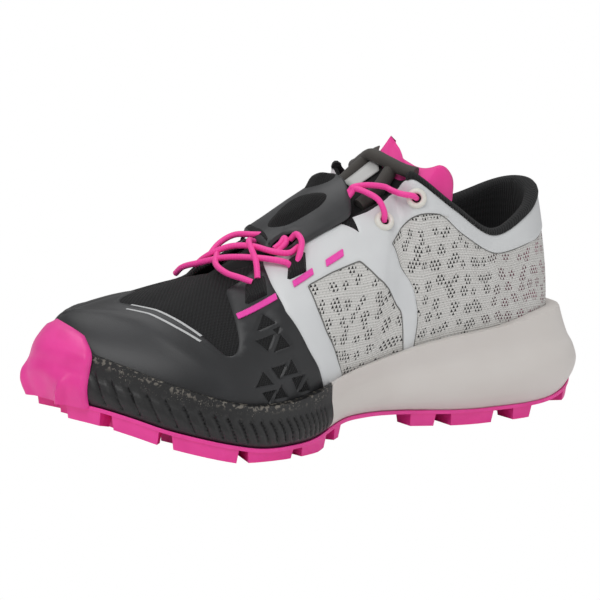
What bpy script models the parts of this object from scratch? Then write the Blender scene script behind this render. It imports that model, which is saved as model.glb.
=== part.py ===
# Trail running shoe, left foot: knit upper in a foam cup sole with a rubber tread.
# Metres. +X points to the toe, +Y to the outer (lateral) side, +Z up.
# The shoe stands on z = 0, and the origin is under the middle of its length and ball width.
# The lugs and the bumper make the built length differ from SHOE_LENGTH, so ORIGIN_SHARE is not a half.

import bpy
import bmesh
import numpy as np
from math import cos, pi, radians, sin

# Driving sizes
SHOE_LENGTH = 0.266
ORIGIN_SHARE = 0.493
BALL_WIDTH = 0.104
INSTEP_HEIGHT = 0.098
HEEL_HEIGHT = 0.1045
HEEL_STACK = 0.028
UPPER_WALL = 0.0018
GAP = 0.0003
ACROSS_STEPS = 2

# Sole
PLATE_THICKNESS = 0.0016
PLATE_MARGIN = 0.0008
LUG_REACH = 0.0072
LUG_TAPER = 0.0008
LUG_ROOT = 0.0010
RAND_THICKNESS = 0.0030
RAND_FROM = 8.5
RAND_END_GAP = 0.10
RAND_SETBACK = 0.0018
RAND_SETBACK_ROWS = 1.4
BUMPER_THICKNESS = 0.0022
BUMPER_HEIGHT = 0.0505
BUMPER_FROM = 41 / 3
BUMPER_TO = 16.0
RIB_REACH = 0.0022
RIB_HALF_WIDTH = 0.06

# Upper and what sits in it
FILM_THICKNESS = 0.0008
FILM_GAP = 0.0007
TOE_CAP_GAP = 0.0012
INSOLE_THICKNESS = 0.0035
TONGUE_THICKNESS = 0.0030
TONGUE_CLEARANCE = 0.0017
LINING_THICKNESS = 0.0032
PAD_AT_LIP = 0.7
PAD_AT_END = 0.5
COLUMNS_PER_ROW = 3
TOE_CROWDING = 0.14

HALF_BALL = BALL_WIDTH / 2
BODY_SIZE = np.array([SHOE_LENGTH, HALF_BALL, INSTEP_HEIGHT])

# The last, as ribs that rise from the sole to the collar or to the middle of the instep.
# Row 0 is the heel, rows 1 to 14 run forward, row 15 is the toe, and the other side runs back.
# x: share of the shoe's length from the heel. y, belly, shoulder: share of half the ball width.
# top_z: share of the heel height in the collar rows and of the instep height in front of them.
# rise, drop: share of the instep height.
# Columns: foot_x, foot_y, top_x, top_y, top_z, belly, rise, shoulder, drop
HEEL_RIB = (0.041, 0.000, 0.055, -0.058, 1.000, 0.090, 0.219, 0.100, 0.250)
LATERAL_COLLAR_RIBS = (
    (0.055, 0.300, 0.073, 0.240, 0.973, 0.090, 0.219, 0.110, 0.260),
    (0.108, 0.452, 0.133, 0.471, 0.889, 0.100, 0.219, 0.100, 0.219),
    (0.194, 0.510, 0.227, 0.596, 0.812, 0.110, 0.200, 0.100, 0.200),
    (0.291, 0.535, 0.319, 0.635, 0.926, 0.130, 0.200, 0.119, 0.219),
)
LATERAL_INSTEP_RIBS = (
    (0.378, 0.565, 0.391, 0.569, 1.120, 0.145, 0.219, 0.150, 0.260),
    (0.442, 0.605, 0.405, 0.300, 1.143, 0.155, 0.240, 0.330, 0.150),
    (0.498, 0.660, 0.4135, 0.000, 1.168, 0.155, 0.260, 0.640, 0.070),
    (0.550, 0.715, 0.462, 0.000, 1.100, 0.145, 0.270, 0.585, 0.040),
    (0.603, 0.775, 0.537, 0.000, 0.990, 0.135, 0.280, 0.545, 0.030),
    (0.665, 0.820, 0.619, -0.060, 0.840, 0.125, 0.260, 0.500, 0.000),
    (0.736, 0.800, 0.706, -0.140, 0.700, 0.119, 0.220, 0.460, 0.000),
    (0.813, 0.670, 0.782, -0.219, 0.635, 0.100, 0.194, 0.400, 0.000),
    (0.882, 0.400, 0.853, -0.300, 0.585, 0.081, 0.180, 0.300, 0.000),
    (0.928, 0.110, 0.898, -0.319, 0.551, 0.060, 0.170, 0.200, 0.000),
)
TOE_RIB = (0.940, -0.230, 0.915, -0.327, 0.531, 0.040, 0.160, 0.100, 0.000)
MEDIAL_COLLAR_RIBS = (
    (0.055, -0.300, 0.073, -0.340, 0.973, 0.090, 0.219, 0.110, 0.260),
    (0.108, -0.452, 0.133, -0.519, 0.900, 0.100, 0.219, 0.100, 0.219),
    (0.194, -0.505, 0.227, -0.600, 0.834, 0.115, 0.200, 0.100, 0.200),
    (0.291, -0.490, 0.319, -0.610, 0.934, 0.150, 0.200, 0.119, 0.219),
)
MEDIAL_INSTEP_RIBS = (
    (0.378, -0.485, 0.391, -0.558, 1.120, 0.175, 0.219, 0.150, 0.260),
    (0.442, -0.505, 0.405, -0.300, 1.143, 0.175, 0.240, 0.320, 0.150),
    (0.498, -0.545, 0.4135, 0.000, 1.168, 0.169, 0.260, 0.620, 0.070),
    (0.550, -0.605, 0.462, 0.000, 1.100, 0.160, 0.270, 0.556, 0.040),
    (0.603, -0.680, 0.537, 0.000, 0.990, 0.140, 0.280, 0.505, 0.030),
    (0.665, -0.765, 0.619, -0.060, 0.840, 0.119, 0.260, 0.442, 0.000),
    (0.736, -0.820, 0.706, -0.140, 0.700, 0.110, 0.220, 0.381, 0.000),
    (0.813, -0.810, 0.782, -0.219, 0.635, 0.090, 0.194, 0.319, 0.000),
    (0.883, -0.700, 0.853, -0.300, 0.585, 0.069, 0.180, 0.240, 0.000),
    (0.922, -0.490, 0.898, -0.319, 0.551, 0.050, 0.170, 0.160, 0.000),
)

# The side of the sole, with a row for each rib of the last.
# x: share of the length. y and the insets: share of half the ball width. z: share of the heel stack.
# Columns: x, y, rim_inset, rim_z, crease_inset, crease_z, bulge_z, base_inset
HEEL_SIDE = (0.000, 0.000, 0.092, 1.786, 0.065, 1.340, 0.960, 0.040)
LATERAL_SIDES = (
    (0.003, 0.490, 0.185, 1.770, 0.096, 1.330, 0.920, 0.060),
    (0.065, 0.700, 0.140, 1.732, 0.100, 1.290, 0.880, 0.080),
    (0.188, 0.740, 0.090, 1.564, 0.096, 1.196, 0.786, 0.100),
    (0.289, 0.731, 0.050, 1.471, 0.077, 1.125, 0.714, 0.096),
    (0.376, 0.721, 0.025, 1.375, 0.058, 1.054, 0.679, 0.088),
    (0.451, 0.731, 0.008, 1.250, 0.038, 1.000, 0.679, 0.075),
    (0.508, 0.769, 0.000, 1.164, 0.023, 0.929, 0.643, 0.062),
    (0.553, 0.827, 0.008, 1.057, 0.015, 0.821, 0.571, 0.056),
    (0.602, 0.923, 0.038, 0.907, 0.023, 0.679, 0.464, 0.050),
    (0.665, 0.992, 0.077, 0.800, 0.038, 0.600, 0.420, 0.050),
    (0.741, 0.962, 0.077, 0.814, 0.038, 0.610, 0.430, 0.050),
    (0.820, 0.788, 0.065, 1.018, 0.035, 0.800, 0.600, 0.050),
    (0.900, 0.490, 0.058, 1.314, 0.031, 1.070, 0.860, 0.050),
    (0.952, 0.150, 0.065, 1.500, 0.031, 1.260, 1.040, 0.050),
)
TOE_SIDE = (0.976, -0.220, 0.077, 1.536, 0.035, 1.310, 1.110, 0.050)
MEDIAL_SIDES = (
    (0.003, -0.490, 0.185, 1.770, 0.096, 1.330, 0.920, 0.060),
    (0.065, -0.700, 0.140, 1.732, 0.100, 1.300, 0.880, 0.080),
    (0.188, -0.731, 0.090, 1.607, 0.096, 1.232, 0.786, 0.100),
    (0.289, -0.692, 0.050, 1.536, 0.077, 1.179, 0.714, 0.096),
    (0.376, -0.663, 0.025, 1.482, 0.058, 1.125, 0.679, 0.088),
    (0.451, -0.673, 0.012, 1.411, 0.042, 1.071, 0.679, 0.075),
    (0.508, -0.721, 0.008, 1.321, 0.031, 1.000, 0.643, 0.062),
    (0.553, -0.779, 0.012, 1.214, 0.023, 0.911, 0.571, 0.056),
    (0.602, -0.865, 0.038, 1.071, 0.027, 0.768, 0.464, 0.050),
    (0.665, -0.962, 0.065, 0.929, 0.038, 0.660, 0.420, 0.050),
    (0.741, -1.000, 0.077, 0.893, 0.038, 0.650, 0.430, 0.050),
    (0.820, -0.973, 0.077, 1.000, 0.035, 0.780, 0.600, 0.050),
    (0.902, -0.840, 0.073, 1.232, 0.031, 1.000, 0.840, 0.050),
    (0.944, -0.590, 0.073, 1.429, 0.031, 1.200, 1.030, 0.050),
)

# Heights along the sole. x: share of the length. z: share of the heel stack.
BOTTOM_PROFILE = (
    (0.000, 0.700), (0.015, 0.600), (0.040, 0.450), (0.080, 0.325), (0.125, 0.270), (0.170, 0.257),
    (0.230, 0.257), (0.290, 0.275), (0.355, 0.325), (0.420, 0.380), (0.490, 0.414), (0.535, 0.405),
    (0.575, 0.325), (0.615, 0.232), (0.660, 0.203), (0.715, 0.205), (0.765, 0.285), (0.810, 0.386),
    (0.850, 0.493), (0.885, 0.618), (0.920, 0.725), (0.955, 0.786), (1.000, 0.860),
)
PLATFORM_PROFILE = (
    (0.000, 0.982), (0.190, 0.975), (0.300, 0.946), (0.376, 0.893), (0.450, 0.821), (0.508, 0.750),
    (0.553, 0.693), (0.602, 0.650), (0.665, 0.621), (0.736, 0.625), (0.813, 0.700), (0.882, 0.855),
    (0.926, 0.970), (1.000, 1.150),
)

# Where the upper ends along the throat, as a share of each rib. Columns: row, share
THROAT_EDGE = (
    (0.0, 1.0), (5.0, 1.0), (5.5, 0.95), (6.0, 0.87), (6.5, 0.80), (7.0, 0.765), (8.0, 0.74),
    (9.0, 0.75), (10.0, 0.77), (10.7, 0.84), (11.3, 1.0), (15.0, 1.0),
)

# Blocks along the tread's edge. Columns: from row, to row, depth as a share of half the ball width.
# Rows past the toe are on the medial side.
EDGE_LUGS = (
    (0.95, 1.65, 0.24), (2.50, 2.82, 0.22), (3.20, 4.15, 0.26), (4.50, 5.15, 0.20), (7.75, 8.10, 0.14),
    (8.55, 9.62, 0.26), (9.88, 10.98, 0.28), (11.15, 12.30, 0.28), (12.48, 13.25, 0.26), (13.45, 14.20, 0.22),
    (28.35, 29.05, 0.24), (27.18, 27.50, 0.22), (25.85, 26.80, 0.26), (24.85, 25.50, 0.20),
    (21.90, 22.25, 0.14), (20.38, 21.45, 0.26), (19.02, 20.12, 0.28), (17.70, 18.85, 0.28),
    (16.75, 17.52, 0.26), (15.80, 16.55, 0.22),
)
# Chevrons inside them. x, length: shares of the shoe's length. y, width: shares of half the ball width.
# Columns: x, y, width, length, aim
ARROW_LUGS = (
    (0.060, 0.00, 0.46, 0.043, -1), (0.125, 0.18, 0.28, 0.047, -1), (0.125, -0.18, 0.28, 0.047, -1),
    (0.190, 0.00, 0.34, 0.047, -1), (0.250, 0.18, 0.28, 0.047, -1), (0.250, -0.18, 0.28, 0.047, -1),
    (0.315, 0.00, 0.34, 0.047, -1), (0.385, 0.00, 0.30, 0.039, -1), (0.565, 0.00, 0.30, 0.039, 1),
    (0.615, 0.22, 0.30, 0.051, 1), (0.615, -0.22, 0.30, 0.051, 1), (0.665, 0.00, 0.34, 0.055, 1),
    (0.705, 0.32, 0.30, 0.051, 1), (0.705, -0.36, 0.30, 0.051, 1), (0.745, -0.02, 0.34, 0.055, 1),
    (0.785, 0.24, 0.26, 0.051, 1), (0.785, -0.36, 0.30, 0.051, 1), (0.825, -0.08, 0.34, 0.055, 1),
    (0.870, -0.32, 0.26, 0.047, 1), (0.870, 0.10, 0.24, 0.047, 1), (0.915, -0.18, 0.34, 0.047, 1),
)
# Fins of the bumper: their rows, and how far they stand out at each of its levels, from the tread up.
BUMPER_RIBS = (14.15, 15.25)
RIB_LEVELS = (1.0, 1.0, 1.0, 0.6, 0.25, 0.0, 0.0, 0.0)

# Padding of the lining, in metres, and how far down it goes, as a share of each rib.
# Columns: row, value
LINING_PAD = ((0.0, 0.0036), (2.0, 0.0032), (3.5, 0.0020), (4.5, 0.0013), (5.5, 0.0010), (15.0, 0.0010))
LINING_DEPTH = ((0.0, 0.62), (2.5, 0.58), (3.6, 0.50), (4.4, 0.30), (5.0, 0.14), (5.6, 0.09), (15.0, 0.08))
COLLAR_END = 16 / 3

# The tongue: where its lower edge lies. Columns: row, share of the rib
TONGUE_EDGE = (
    (4.0, 0.86), (4.333, 0.84), (4.667, 0.80), (5.0, 0.78), (5.5, 0.74), (6.0, 0.70), (6.5, 0.67), (7.0, 0.64),
    (7.5, 0.62), (8.0, 0.62), (9.0, 0.62), (10.0, 0.66), (11.0, 0.76), (12.0, 0.88),
)
# Its flared top and pointed tab. x: share of the length. y: share of half the ball width.
# z: share of the instep height. Columns: row, x, y, z
TONGUE_TOP = (
    (4.0, 0.301, 0.495, 1.015), (4.333, 0.302, 0.500, 1.100), (4.667, 0.314, 0.496, 1.150),
    (5.0, 0.327, 0.476, 1.168), (5.333, 0.338, 0.438, 1.158), (5.667, 0.347, 0.400, 1.152),
    (6.0, 0.353, 0.327, 1.156), (6.333, 0.356, 0.240, 1.172), (6.667, 0.358, 0.130, 1.190),
    (7.0, 0.364, 0.000, 1.208), (7.333, 0.383, 0.000, 1.180), (7.667, 0.415, 0.000, 1.125),
)
TONGUE_STEPS = 4
TAB_HEIGHT = 0.0070
TAB_LEAN = 0.0015
TAB_REACH = 0.33

# The raised arch on the tongue's face: a bar between the collar's corners, and two legs.
# x: share of the length. y: share of half the ball width. z: share of the instep height. Columns: x, y, z
RIM_BAR = ((0.369, 0.425, 1.131), (0.379, 0.312, 1.143), (0.3895, 0.163, 1.171), (0.397, 0.000, 1.196))
RIM_LEG = ((0.394, 0.115, 1.163), (0.4155, 0.163, 1.129), (0.440, 0.177, 1.082), (0.464, 0.183, 1.041))
RIM_CENTRE = (0.320, 0.000, 0.870)
RIM_HALF_WIDTH = 0.0030
RIM_HALF_HEIGHT = 0.0017

# Films on the upper. Borders are runs of (row, share of the rib); a share of 0 is the sole's rim.
FILM_RISE = 0.0020
TOE_CAP_STRIPS = (
    (((15.0, 0), (14.67, 0), (14.33, 0), (14.0, 0), (13.5, 0), (13.0, 0), (12.6, 0)),
     ((15.0, 1.0), (14.67, 1.0), (14.33, 1.0), (14.0, 1.0), (13.5, 1.0), (13.0, 1.0), (12.6, 1.0)), 1, 6),
    (((12.6, 0), (12.3, 0), (12.0, 0), (11.7, 0), (11.35, 0), (11.0, 0)),
     ((12.6, 1.0), (12.45, 0.88), (12.12, 0.71), (11.83, 0.60), (11.48, 0.47), (11.0, 0.355)), 1, 6),
    (((11.0, 0), (11.0, 0.355), (10.90, 0.47), (10.86, 0.59), (10.83, 0.715)),
     ((8.6, 0), (9.65, 0.335), (10.00, 0.50), (10.14, 0.62), (10.16, 0.745)), (6, 1, 1, 1), 4),
)
QUARTER_STRIPS = (
    (((0.0, 0.80), (0.33, 0.80), (0.67, 0.80), (1.0, 0.80), (1.33, 0.79), (1.67, 0.78), (2.0, 0.79), (2.5, 0.82),
      (3.1, 0.85), (3.7, 0.86), (4.4, 0.88)),
     ((0.0, 0.96), (0.33, 0.96), (0.67, 0.96), (1.0, 0.96), (1.33, 0.96), (1.67, 0.96), (2.0, 0.96), (2.5, 0.96),
      (3.1, 0.96), (3.8, 0.96), (4.6, 0.965)), 1, 2),
    (((4.40, 0.88), (5.0, 0.80), (5.6, 0.73), (6.25, 0.65), (6.93, 0.565), (7.50, 0.520), (8.18, 0.540),
      (8.60, 0.545)),
     ((4.60, 0.965), (5.1, 0.962), (5.6, 0.91), (6.1, 0.83), (6.6, 0.765), (7.1, 0.735), (7.88, 0.715),
      (8.40, 0.705)), (2, 2, 1, 1, 1, 1, 1), 2),
    (((8.60, 0.545), (9.05, 0.545), (9.53, 0.540)), ((8.40, 0.705), (9.15, 0.725), (9.88, 0.735)), 1, 2),
    (((9.53, 0.54), (9.30, 0.42), (9.00, 0.32), (8.45, 0.20), (7.95, 0)),
     ((9.88, 0.735), (9.98, 0.60), (9.72, 0.42), (9.25, 0.27), (8.45, 0)), 2, 2),
    (((6.93, 0.565), (6.15, 0.51), (5.48, 0.47), (5.20, 0.39), (5.13, 0.30), (5.10, 0)),
     ((7.50, 0.520), (6.75, 0.40), (5.95, 0.345), (5.70, 0.28), (5.53, 0.23), (5.45, 0)), 1, 1),
)
# The saddle over the laces: how far round it goes, its rise over the film, in metres, and its dome.
COVER_STRIPS = (
    (((8.36, 0.745), (8.75, 0.735), (9.20, 0.735), (9.60, 0.735), (10.02, 0.795)),
     ((8.03, 1.0), (8.60, 1.0), (9.10, 1.0), (9.60, 1.0), (10.05, 1.0)), 1, 5),
)
COVER_RISE = 0.0005
COVER_DOME = 0.0010
COVER_THICKNESS = 0.0016

# Moulded rings of the rear lace holes. Columns: row, share
EYELETS = {"low": (7.40, 0.655), "high": (5.08, 0.885)}
EYELET_HOLE = 0.0020
EYELET_RADIUS = 0.0043
EYELET_HEIGHT = 0.0010
# Webbing loops of the front lace rows: two corners each. Columns: row, share, row, share
LOOPS = {"front": (10.32, 0.60, 10.55, 0.68), "rear": (9.60, 0.605, 9.82, 0.675)}
LOOP_THICKNESS = 0.0014

# Lace runs over the instep. Columns: row, way down from the ridge, height over the last in mm.
# Below zero is the inner side.
LACE_RADIUS = 0.00135
LACE_FRONT = (
    ((10.22, 0.24, 4.4), (10.60, 0.11, 4.0), (10.95, 0.0, 3.8), (11.10, -0.12, 3.8)),
    ((10.22, 0.13, 4.2), (10.42, 0.07, 5.0), (10.66, 0.02, 4.6), (10.95, 0.0, 4.0)),
    ((10.60, 0.03, 4.4), (10.78, 0.12, 4.2), (10.72, 0.22, 4.4), (10.56, 0.285, 5.0), (10.46, 0.34, 5.4)),
)
LACE_REAR = (
    ((8.10, 0.165, 4.2), (7.88, 0.215, 5.0), (7.60, 0.27, 5.2), (7.46, 0.31, 5.0), (7.40, 0.345, 4.5)),
    ((8.10, 0.155, 4.2), (7.75, 0.180, 4.0), (7.25, 0.195, 4.2), (6.05, 0.155, 5.8), (5.50, 0.120, 6.2),
     (5.08, 0.115, 5.1)),
)

LAST_ROW = len(LATERAL_COLLAR_RIBS) + len(LATERAL_INSTEP_RIBS) + 1
TURN = 2 * LAST_ROW
RIDGE_FROM = len(LATERAL_COLLAR_RIBS) + 3
COLLAR_TO = len(LATERAL_COLLAR_RIBS) + 1


def ribs_in_metres():
    """The last's table in metres, in one closed loop of rows."""
    length, half, instep = SHOE_LENGTH, HALF_BALL, INSTEP_HEIGHT
    collar = np.array([length, half, length, half, HEEL_HEIGHT, half, instep, half, instep])
    front = np.array([length, half, length, half, instep, half, instep, half, instep])
    heel = np.array([HEEL_RIB]) * collar
    lateral = np.concatenate([np.array(LATERAL_COLLAR_RIBS) * collar, np.array(LATERAL_INSTEP_RIBS) * front])
    medial = np.concatenate([np.array(MEDIAL_COLLAR_RIBS) * collar, np.array(MEDIAL_INSTEP_RIBS) * front])
    return np.concatenate([heel, lateral, np.array([TOE_RIB]) * front, medial[::-1]])


def sides_in_metres():
    """The sole's side table in metres, in the same loop of rows."""
    share = np.array([HEEL_SIDE, *LATERAL_SIDES, TOE_SIDE, *reversed(MEDIAL_SIDES)])
    half, stack = HALF_BALL, HEEL_STACK
    return share * np.array([SHOE_LENGTH, half, half, stack, half, stack, stack, half])


def around(rows, turn):
    """Smooth values between the rows of a closed loop (Catmull-Rom)."""
    turn = np.asarray(turn, float)
    start = np.floor(turn).astype(int)
    part = (turn - start)[..., None]
    before, here, there, after = (rows[(start + step) % len(rows)] for step in (-1, 0, 1, 2))
    return 0.5 * (2 * here + (there - before) * part
                  + (2 * before - 5 * here + 4 * there - after) * part ** 2
                  + (3 * here - before - 3 * there + after) * part ** 3)


def along(table, place):
    """Smooth values of a two-column table, level beyond its ends."""
    knots, values = np.array(table).T
    slopes = np.gradient(values, knots)
    flat = np.diff(values) == 0
    slopes[:-1][flat] = 0
    slopes[1:][flat] = 0
    place = np.clip(np.asarray(place, float), knots[0], knots[-1])
    index = np.clip(np.searchsorted(knots, place, side="right") - 1, 0, len(knots) - 2)
    span = knots[index + 1] - knots[index]
    part = (place - knots[index]) / span
    return ((1 + 2 * part) * (1 - part) ** 2 * values[index] + part * (1 - part) ** 2 * span * slopes[index]
            + part ** 2 * (3 - 2 * part) * values[index + 1]
            + part ** 2 * (part - 1) * span * slopes[index + 1])


RIBS = ribs_in_metres()
SIDES = sides_in_metres()


def bottom_height(x):
    return along(BOTTOM_PROFILE, x / SHOE_LENGTH) * HEEL_STACK


def platform_height(x):
    return along(PLATFORM_PROFILE, x / SHOE_LENGTH) * HEEL_STACK


def outward(rows, turn):
    """Level direction out of a loop whose first two columns are x and y."""
    step = 0.05
    tangent = around(rows[:, :2], np.asarray(turn) + step) - around(rows[:, :2], np.asarray(turn) - step)
    normal = np.stack([-tangent[..., 1], tangent[..., 0]], -1)
    return normal / np.linalg.norm(normal, axis=-1, keepdims=True)


def last_point(turn, share):
    """Point of the last on the rib at turn, at a share of the way from the sole to the rib's top."""
    turn, share = np.broadcast_arrays(np.asarray(turn, float), np.asarray(share, float))
    rib = around(RIBS, turn)
    side = outward(RIBS, turn)
    foot = np.concatenate([rib[..., :2], platform_height(rib[..., :1])], -1)
    on_ridge = side_row(turn)[..., None] > RIDGE_FROM - 0.01
    top = np.where(on_ridge, (rib[..., 2:5] + around(RIBS, TURN - turn)[..., 2:5]) / 2, rib[..., 2:5])
    belly, rise, shoulder, drop = (rib[..., column, None] for column in (5, 6, 7, 8))
    low = foot + np.concatenate([side * belly, rise], -1)
    high = top + np.concatenate([side * shoulder, -drop], -1)
    share = share[..., None]
    rest = 1 - share
    return rest ** 3 * foot + 3 * rest ** 2 * share * low + 3 * rest * share ** 2 * high + share ** 3 * top


def raw_normal(turn, share):
    """Normal of one side, read a little below the point where the ribs crowd together over the toe."""
    step = 0.02
    crowded = np.clip(side_row(turn) - (LAST_ROW - 2), 0, 1)
    share = np.clip(share, step, 1 - step - TOE_CROWDING * crowded)
    across = last_point(turn + step, share) - last_point(turn - step, share)
    upward = last_point(turn, share + step) - last_point(turn, share - step)
    normal = np.cross(upward, across)
    return normal / np.linalg.norm(normal, axis=-1, keepdims=True)


def last_normal(turn, share):
    """Outward normal, shared by both sides where their ribs meet on the ridge."""
    turn, share = np.broadcast_arrays(np.asarray(turn, float), np.asarray(share, float))
    normal = raw_normal(turn, share)
    other = raw_normal(TURN - turn, share)
    row = np.minimum(turn % TURN, TURN - turn % TURN)
    on_ridge = ((share > 0.999) & (row > RIDGE_FROM - 0.01))[..., None]
    both = normal + other
    return np.where(on_ridge, both / np.linalg.norm(both, axis=-1, keepdims=True), normal)


def skin(turn, share, offset):
    """The last's surface, moved outward by an offset."""
    return last_point(turn, share) + last_normal(turn, share) * np.asarray(offset, float)[..., None]


def side_row(turn):
    return np.minimum(np.asarray(turn, float) % TURN, TURN - np.asarray(turn, float) % TURN)


def throat_share(turn):
    return np.minimum(along(THROAT_EDGE, side_row(turn)), 1.0)


def outline(turn, inset):
    """Point of the sole's plan outline, moved in."""
    side = around(SIDES, turn)
    return side[..., :2] - outward(SIDES, turn) * np.asarray(inset, float)[..., None]


def share_at_height(turn, height):
    """Share of a rib at which the last reaches a height."""
    low = np.zeros_like(turn)
    high = np.full_like(turn, 0.9)
    for _ in range(24):
        middle = (low + high) / 2
        below = last_point(turn, middle)[..., 2] < height
        low = np.where(below, middle, low)
        high = np.where(below, high, middle)
    return low


def material(name, colour, roughness, metallic=0.0):
    made = bpy.data.materials.new(name)
    made.use_nodes = True
    shader = made.node_tree.nodes["Principled BSDF"]
    shader.inputs["Base Color"].default_value = (*colour, 1.0)
    shader.inputs["Roughness"].default_value = roughness
    shader.inputs["Metallic"].default_value = metallic
    return made


def new_object(name, points, faces, finish, weld=0.00002, close=True):
    """Object from points measured from the heel, with its doubles welded."""
    mesh = bpy.data.meshes.new(name)
    placed = np.asarray(points) - np.array([ORIGIN_SHARE * SHOE_LENGTH, 0, 0])
    mesh.from_pydata(placed.tolist(), [], faces)
    work = bmesh.new()
    work.from_mesh(mesh)
    bmesh.ops.remove_doubles(work, verts=work.verts, dist=weld)
    bmesh.ops.dissolve_degenerate(work, edges=work.edges, dist=weld / 2)
    if close:
        bmesh.ops.recalc_face_normals(work, faces=work.faces)
    work.to_mesh(mesh)
    work.free()
    mesh.materials.append(finish)
    made = bpy.data.objects.new(name, mesh)
    SHOE.objects.link(made)
    return made


def grid_faces(rows, columns, wrap=False, start=0):
    """Quads between neighbouring points of a grid of rows by columns."""
    faces = []
    for row in range(rows if wrap else rows - 1):
        for column in range(columns - 1):
            here = start + row * columns + column
            there = start + ((row + 1) % rows) * columns + column
            faces.append((here, here + 1, there + 1, there))
    return faces


def swept(name, sections, finish, closed):
    """Closed body from a run of closed sections, joined end to end or capped."""
    sections = np.asarray(sections)
    count, size, _ = sections.shape
    faces = []
    for row in range(count if closed else count - 1):
        for corner in range(size):
            here, there = row * size, ((row + 1) % count) * size
            nxt = (corner + 1) % size
            faces.append((here + corner, there + corner, there + nxt, here + nxt))
    if not closed:
        faces.append(tuple(range(size)))
        faces.append(tuple(range((count - 1) * size, count * size)))
    return new_object(name, sections.reshape(-1, 3), faces, finish)


def bridged(name, profiles, steps, finish, top_height=None, base_height=None):
    """Closed body from open profiles round the sole, with its top and bottom bridged across.

    profiles: turns by points by 3, over a whole number of turns from the heel, from bottom to top.
    """
    profiles = np.asarray(profiles)
    count, size, _ = profiles.shape
    half = count // 2
    points = [profiles.reshape(-1, 3)]
    faces = grid_faces(count, size, wrap=True)
    start = count * size
    for corner, height in ((0, base_height), (size - 1, top_height)):
        part = np.linspace(0, 1, steps + 1)[None, :, None]
        near = profiles[: half + 1, corner][:, None]
        far = profiles[-np.arange(half + 1) % count, corner][:, None]
        strip = near * (1 - part) + far * part
        if height is not None:
            inner = strip[:, 1:-1]
            inner[..., 2] = height(inner[..., 0])
        points.append(strip.reshape(-1, 3))
        faces += grid_faces(half + 1, steps + 1, start=start)
        start += (half + 1) * (steps + 1)
    return new_object(name, np.concatenate(points), faces, finish)


def turns(start, end, per_row=COLUMNS_PER_ROW):
    return np.linspace(start, end, int(round((end - start) * per_row)) + 1)


def full_turn():
    return turns(0, TURN)[:-1]


def at_height(plan, height):
    return np.concatenate([plan, np.broadcast_to(np.asarray(height), plan.shape[:-1])[..., None]], -1)


def in_rand(turn):
    return side_row(turn) > RAND_FROM


def wall_profile(turn, inset):
    """The sole's outer side from its base to its rim, with its lower part moved in by an inset."""
    side = around(SIDES, turn)
    rim_in, rim_z, crease_in, crease_z, bulge_z, base_in = (side[:, column] for column in range(2, 8))
    base = outline(turn, base_in + inset)
    base_z = bottom_height(base[:, 0])
    return [at_height(base, base_z),
            at_height(outline(turn, base_in * 0.25 + inset), base_z * 0.55 + bulge_z * 0.45),
            at_height(outline(turn, inset), bulge_z),
            at_height(outline(turn, crease_in * 0.4 + inset * 0.8), bulge_z * 0.45 + crease_z * 0.55),
            at_height(outline(turn, crease_in + inset / 2), crease_z),
            at_height(outline(turn, rim_in), rim_z)]


def inner_wall(turn, top_share, offset, shares):
    """Points of the last's surface from the rim down to the platform."""
    return [skin(turn, top_share * share, np.full(len(turn), offset)) for share in shares]


def sole_turns():
    """Turns round the sole, with a pair of columns where the rand begins."""
    half = np.union1d(turns(0, LAST_ROW), [RAND_FROM - 0.01, RAND_FROM + 0.01])
    return np.concatenate([half, TURN - half[-2:0:-1]])


def build_midsole(finish):
    turn = sole_turns()
    setback = RAND_SETBACK * np.clip(side_row(turn) - RAND_FROM + RAND_SETBACK_ROWS, 0, 1) * (side_row(turn) < RAND_FROM)
    cup = wall_profile(turn, setback)
    rim_share = share_at_height(turn, cup[-1][:, 2])
    cup += inner_wall(turn, rim_share, GAP, (1.0, 0.5, 0.0))
    cup[-1][:, 2] = platform_height(cup[-1][:, 0]) - GAP
    side = around(SIDES, turn)
    inset = RAND_THICKNESS + GAP
    base = outline(turn, side[:, 7] + inset)
    edge = outline(turn, np.full(len(turn), inset))
    foot = cup[-1][:, :2]
    top, under = (at_height(plan, platform_height(plan[:, 0]) - GAP) for plan in (foot, edge))
    filled = [at_height(base, bottom_height(base[:, 0]))] + [under] * 4 + [top] * 4
    profiles = np.where(in_rand(turn)[:, None, None], np.stack(filled, 1), np.stack(cup, 1))
    return bridged("midsole", profiles, ACROSS_STEPS, finish, lambda x: platform_height(x) - GAP, bottom_height)


def build_rand(finish):
    start = RAND_FROM + RAND_END_GAP
    turn = np.concatenate([[start], turns(RAND_FROM + 1 / 6, TURN - RAND_FROM - 1 / 6), [TURN - start]])
    levels = wall_profile(turn, 0)
    rim_share = share_at_height(turn, levels[-1][:, 2])
    levels += inner_wall(turn, rim_share, GAP, (1.0, 0.5, 0.0))
    levels[-1][:, 2] = platform_height(levels[-1][:, 0])
    side = around(SIDES, turn)
    ledge = outline(turn, np.full(len(turn), RAND_THICKNESS))
    base = outline(turn, side[:, 7] + RAND_THICKNESS)
    levels.append(at_height(ledge, platform_height(ledge[:, 0])))
    levels.append(at_height(base, bottom_height(base[:, 0])))
    return swept("forefoot_rand", np.stack(levels, 1), finish, closed=False)


def build_upper(finish):
    turn = full_turn()
    shares = np.linspace(0, 1, 9)
    edge = throat_share(turn)
    points = last_point(turn[:, None], shares[None, :] * edge[:, None])
    faces = grid_faces(len(turn), len(shares), wrap=True)
    upper = new_object("upper", points.reshape(-1, 3), faces, finish, close=False)
    solidify(upper, UPPER_WALL, -1)
    return upper


def solidify(sheet, thickness, offset, even=True):
    wall = sheet.modifiers.new("wall", "SOLIDIFY")
    wall.thickness = thickness
    wall.offset = offset
    wall.use_even_offset = even
    wall.thickness_clamp = 0


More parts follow.
